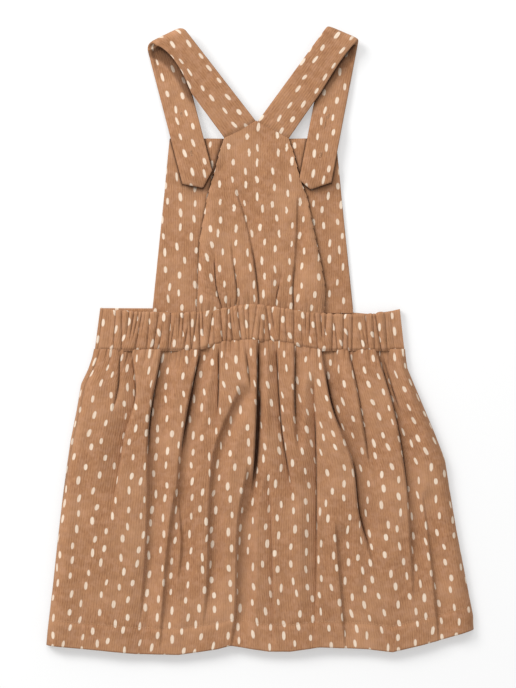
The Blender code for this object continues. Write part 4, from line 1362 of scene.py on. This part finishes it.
def stitch_tree():
    """Geometry Nodes that lay stitches at a pitch along a mesh's lines, with a little chance in each."""
    tree = bpy.data.node_groups.new("Row of stitches", "GeometryNodeTree")
    tree.is_modifier = True
    names = {}
    for name, kind in (
        ("Lines", "Geometry"), ("Pitch", "Float"), ("Length", "Float"), ("Thickness", "Float"),
        ("Turn", "Float"), ("Seed", "Int"), ("Thread", "Material"),
    ):
        socket = tree.interface.new_socket(name, in_out="INPUT", socket_type=f"NodeSocket{kind}")
        names[name] = socket.identifier
    tree.interface.new_socket("Stitches", in_out="OUTPUT", socket_type="NodeSocketGeometry")
    add = partial(node, tree)
    given = add("NodeGroupInput").outputs
    line = add("GeometryNodeMeshToCurve", {"Mesh": given["Lines"]})
    pitch = {"Curve": line, "Length": given["Pitch"]}
    evenly = add("GeometryNodeResampleCurve", pitch, mode="LENGTH")
    ball = add("GeometryNodeMeshUVSphere", {"Segments": 8, "Rings": 6, "Radius": 0.5})
    size = add("ShaderNodeCombineXYZ", given["Length"], given["Thickness"], given["Thickness"])
    stitch = add("GeometryNodeTransform", {"Geometry": ball.outputs["Mesh"], "Scale": size})
    swing, grow = (
        add("FunctionNodeRandomValue", {2: least, 3: most, "Seed": given["Seed"]}, data_type="FLOAT")
        for least, most in ((-STITCH_SWING, STITCH_SWING), STITCH_SIZES)
    )
    turn = add("ShaderNodeMath", swing.outputs[1], given["Turn"], operation="ADD")
    turn = add("FunctionNodeEulerToRotation", add("ShaderNodeCombineXYZ", 0.0, 0.0, turn))
    tangent = add("GeometryNodeInputTangent")
    lie = add("FunctionNodeAlignRotationToVector", {"Vector": tangent}, axis="X")
    lie = add("FunctionNodeRotateRotation", lie, turn, rotation_space="LOCAL")
    laid = add("GeometryNodeInstanceOnPoints", {
        "Points": evenly, "Instance": stitch, "Rotation": lie, "Scale": grow.outputs[1],
    })
    real = add("GeometryNodeRealizeInstances", laid)
    smooth = add("GeometryNodeSetShadeSmooth", real)
    sewn = add("GeometryNodeSetMaterial", {"Geometry": smooth, "Material": given["Thread"]})
    add("NodeGroupOutput", sewn)
    return tree, names


stitch_nodes, stitch_inputs = stitch_tree()


def stitches(name, lines, pitch, length, thick=STITCH_THICK, turn=0.0, seed=1, colour=thread):
    """One piece of stitching: a stitch each pitch along lines of points, in millimetres in the tables."""
    points = np.concatenate(lines) + (SHIFT_X, SHIFT_Y, 0.0)
    starts = np.cumsum([0] + [len(line) for line in lines[:-1]])
    edges = [(start + i, start + i + 1) for start, line in zip(starts, lines) for i in range(len(line) - 1)]
    mesh = bpy.data.meshes.new(f"{name} lines")
    mesh.from_pydata((points * MM).tolist(), np.array(edges).tolist(), [])
    holder = put_in_scene(f"{name} lines", mesh)
    row = holder.modifiers.new("Row of stitches", "NODES")
    row.node_group = stitch_nodes
    for key, value in (
        ("Pitch", pitch * MM), ("Length", length * MM), ("Thickness", thick * MM),
        ("Turn", turn), ("Seed", seed), ("Thread", colour),
    ):
        row[stitch_inputs[key]] = value
    finished = as_mesh(holder)
    finished.name = name
    finish_piece(name, finished, "corduroy")


def hem_line(grid, off_middle):
    """The row of a skirt panel's grid nearest the top of its hem, short of the panel's rolled sides."""
    x, y, z = grid
    up_from_hem = np.abs(y[-1].mean() - y.mean(axis=1))
    row = int(np.argmin(np.abs(up_from_hem - HEM_DEPTH)))
    line = np.stack([x[row], y[row], z[row] + off_middle], axis=-1)
    return line[HEM_SHORT_OF_SIDES:-HEM_SHORT_OF_SIDES]


back_hem = hem_line(back_skirt_grid, CLOTH / 2 + HEM_OUTSIDE["back"])
stitches("hem_stitching_back", [back_hem], HEM_PITCH, HEM_STITCH, seed=3)
front_hem = hem_line(front_skirt_grid, -CLOTH / 2 + HEM_OUTSIDE["front"])
stitches("hem_stitching_front", [front_hem], HEM_PITCH, HEM_STITCH, seed=4)

tacks = []
for strap in STRAPS:
    middle, normal, along = strap_surfaces[strap.side]
    up, side, _, _ = strap_axes(strap)
    centre = middle.shape[1] // 2
    for far in BUTTONS_FROM_TIP.values():
        at = int(np.argmin(np.abs(along[:, centre] - far)))
        top = middle[at, centre] + normal[at, centre] * (STRAP_THICK / 2 + TACK_CLEAR)
        for aside in TACK_ROWS:
            ends = [top[:2] + side * aside + up * end * TACK_LONG / 2 for end in (-1.0, 0.0, 1.0)]
            tacks.append(np.array([(*end, top[2]) for end in ends]))
# One thread end was left long, and lies along the right strap from its upper button
middle, normal, along = (grid[:, centre] for grid in strap_surfaces["right"])
button_at = BUTTONS_FROM_TIP["upper"]
loose = (along > button_at - LOOSE_END) & (along < button_at)
top = middle + normal * (STRAP_THICK / 2 + LOOSE_END_CLEAR)
tacks.append(top[loose] + (-LOOSE_END_ASIDE, 0.0, 0.0))
stitches("button_tacks", tacks, TACK_PITCH, TACK_STITCH, seed=5)

# Dark stitches along both sides of the back stand in for the shade under its turned edges
edge_shade_dashes = []
for edge, outward in ((0, -1.0), (-1, 1.0)):
    line = np.stack([along_edge[:, edge] for along_edge in panel_grid], axis=-1)
    edge_shade_dashes.append(line[EDGE_SHADE_ROWS] + (outward * EDGE_SHADE_ASIDE, 0.0, -EDGE_SHADE_DOWN))
stitches("upper_back_edge_shade_stitches", edge_shade_dashes, WALE, EDGE_SHADE_DASH, thick=EDGE_SHADE_THICK, seed=7, colour=edge_shade_thread)

overcast = []
for strap in STRAPS:
    up, side, _, _ = strap_axes(strap)
    place = button_places(strap)["lower"]
    height = float(button_lift(0.0)) - BUTTONHOLE_SUNK
    for aside in (-BUTTONHOLE_SIDE, BUTTONHOLE_SIDE):
        ends = [place + side * aside + up * end * BUTTONHOLE_HALF for end in (-1.0, 1.0)]
        overcast.append(np.array([(*end, height) for end in ends]))
stitches("buttonhole_stitching", overcast, BUTTONHOLE_PITCH, BUTTONHOLE_STITCH, turn=math.pi / 2, seed=6)

# ======================================================================
# The paper, the light and the camera: white paper under one broad soft light from the upper left, seen
# from straight above through a long lens.
# ======================================================================

VIEW_LONG = 0.5504
VIEW_CENTRE = (-0.0016, -0.0031)
CAMERA_HEIGHT = 1.9
SENSOR = 36.0
PAPER_HALF = 2.0
PAPER_BELOW = 0.05
WHITE = (1.0, 1.0, 1.0, 1.0)
ROOM_STRENGTH = 0.77

paper_mesh = bpy.data.meshes.new("paper")
corners = [(x * PAPER_HALF, y * PAPER_HALF, 0.0) for x, y in ((-1, -1), (1, -1), (1, 1), (-1, 1))]
paper_mesh.from_pydata(corners, [], [(0, 1, 2, 3)])
paper_finish, add = new_material("white card")
# The card is backlit a little, which keeps its shadows pale
shader = add("ShaderNodeBsdfPrincipled", {
    "Base Color": (0.45, 0.45, 0.45, 1.0), "Roughness": 1.0, "Specular IOR Level": 0.0,
    "Emission Color": WHITE, "Emission Strength": 0.36,
})
add("ShaderNodeOutputMaterial", {"Surface": shader})
paper_mesh.materials.append(paper_finish)
paper = put_in_scene("paper", paper_mesh)
paper.location.z = -PAPER_BELOW * MM

lens = bpy.data.cameras.new("long lens")
lens.sensor_width = SENSOR
lens.lens = SENSOR * CAMERA_HEIGHT / VIEW_LONG
camera = put_in_scene("camera", lens)
camera.location = (*VIEW_CENTRE, CAMERA_HEIGHT)
bpy.context.scene.camera = camera

Lamp = namedtuple("Lamp", "name x y z size power")
LAMPS = (
    Lamp("window on the left", -1.4, 1.25, 1.5, 1.05, 51.0),
    Lamp("window at the top", 0.15, 1.6, 2.0, 0.9, 18.0),
)
for lamp in LAMPS:
    light = bpy.data.lights.new(lamp.name, "AREA")
    light.size = lamp.size
    light.energy = lamp.power
    stand = put_in_scene(lamp.name, light)
    stand.location = (lamp.x, lamp.y, lamp.z)
    stand.rotation_euler = stand.location.to_track_quat("Z", "Y").to_euler()

sky = bpy.data.worlds.new("white room")
sky.use_nodes = True
background = sky.node_tree.nodes["Background"].inputs
background["Color"].default_value = WHITE
background["Strength"].default_value = ROOM_STRENGTH
bpy.context.scene.world = sky
bpy.context.scene.view_settings.view_transform = "Standard"
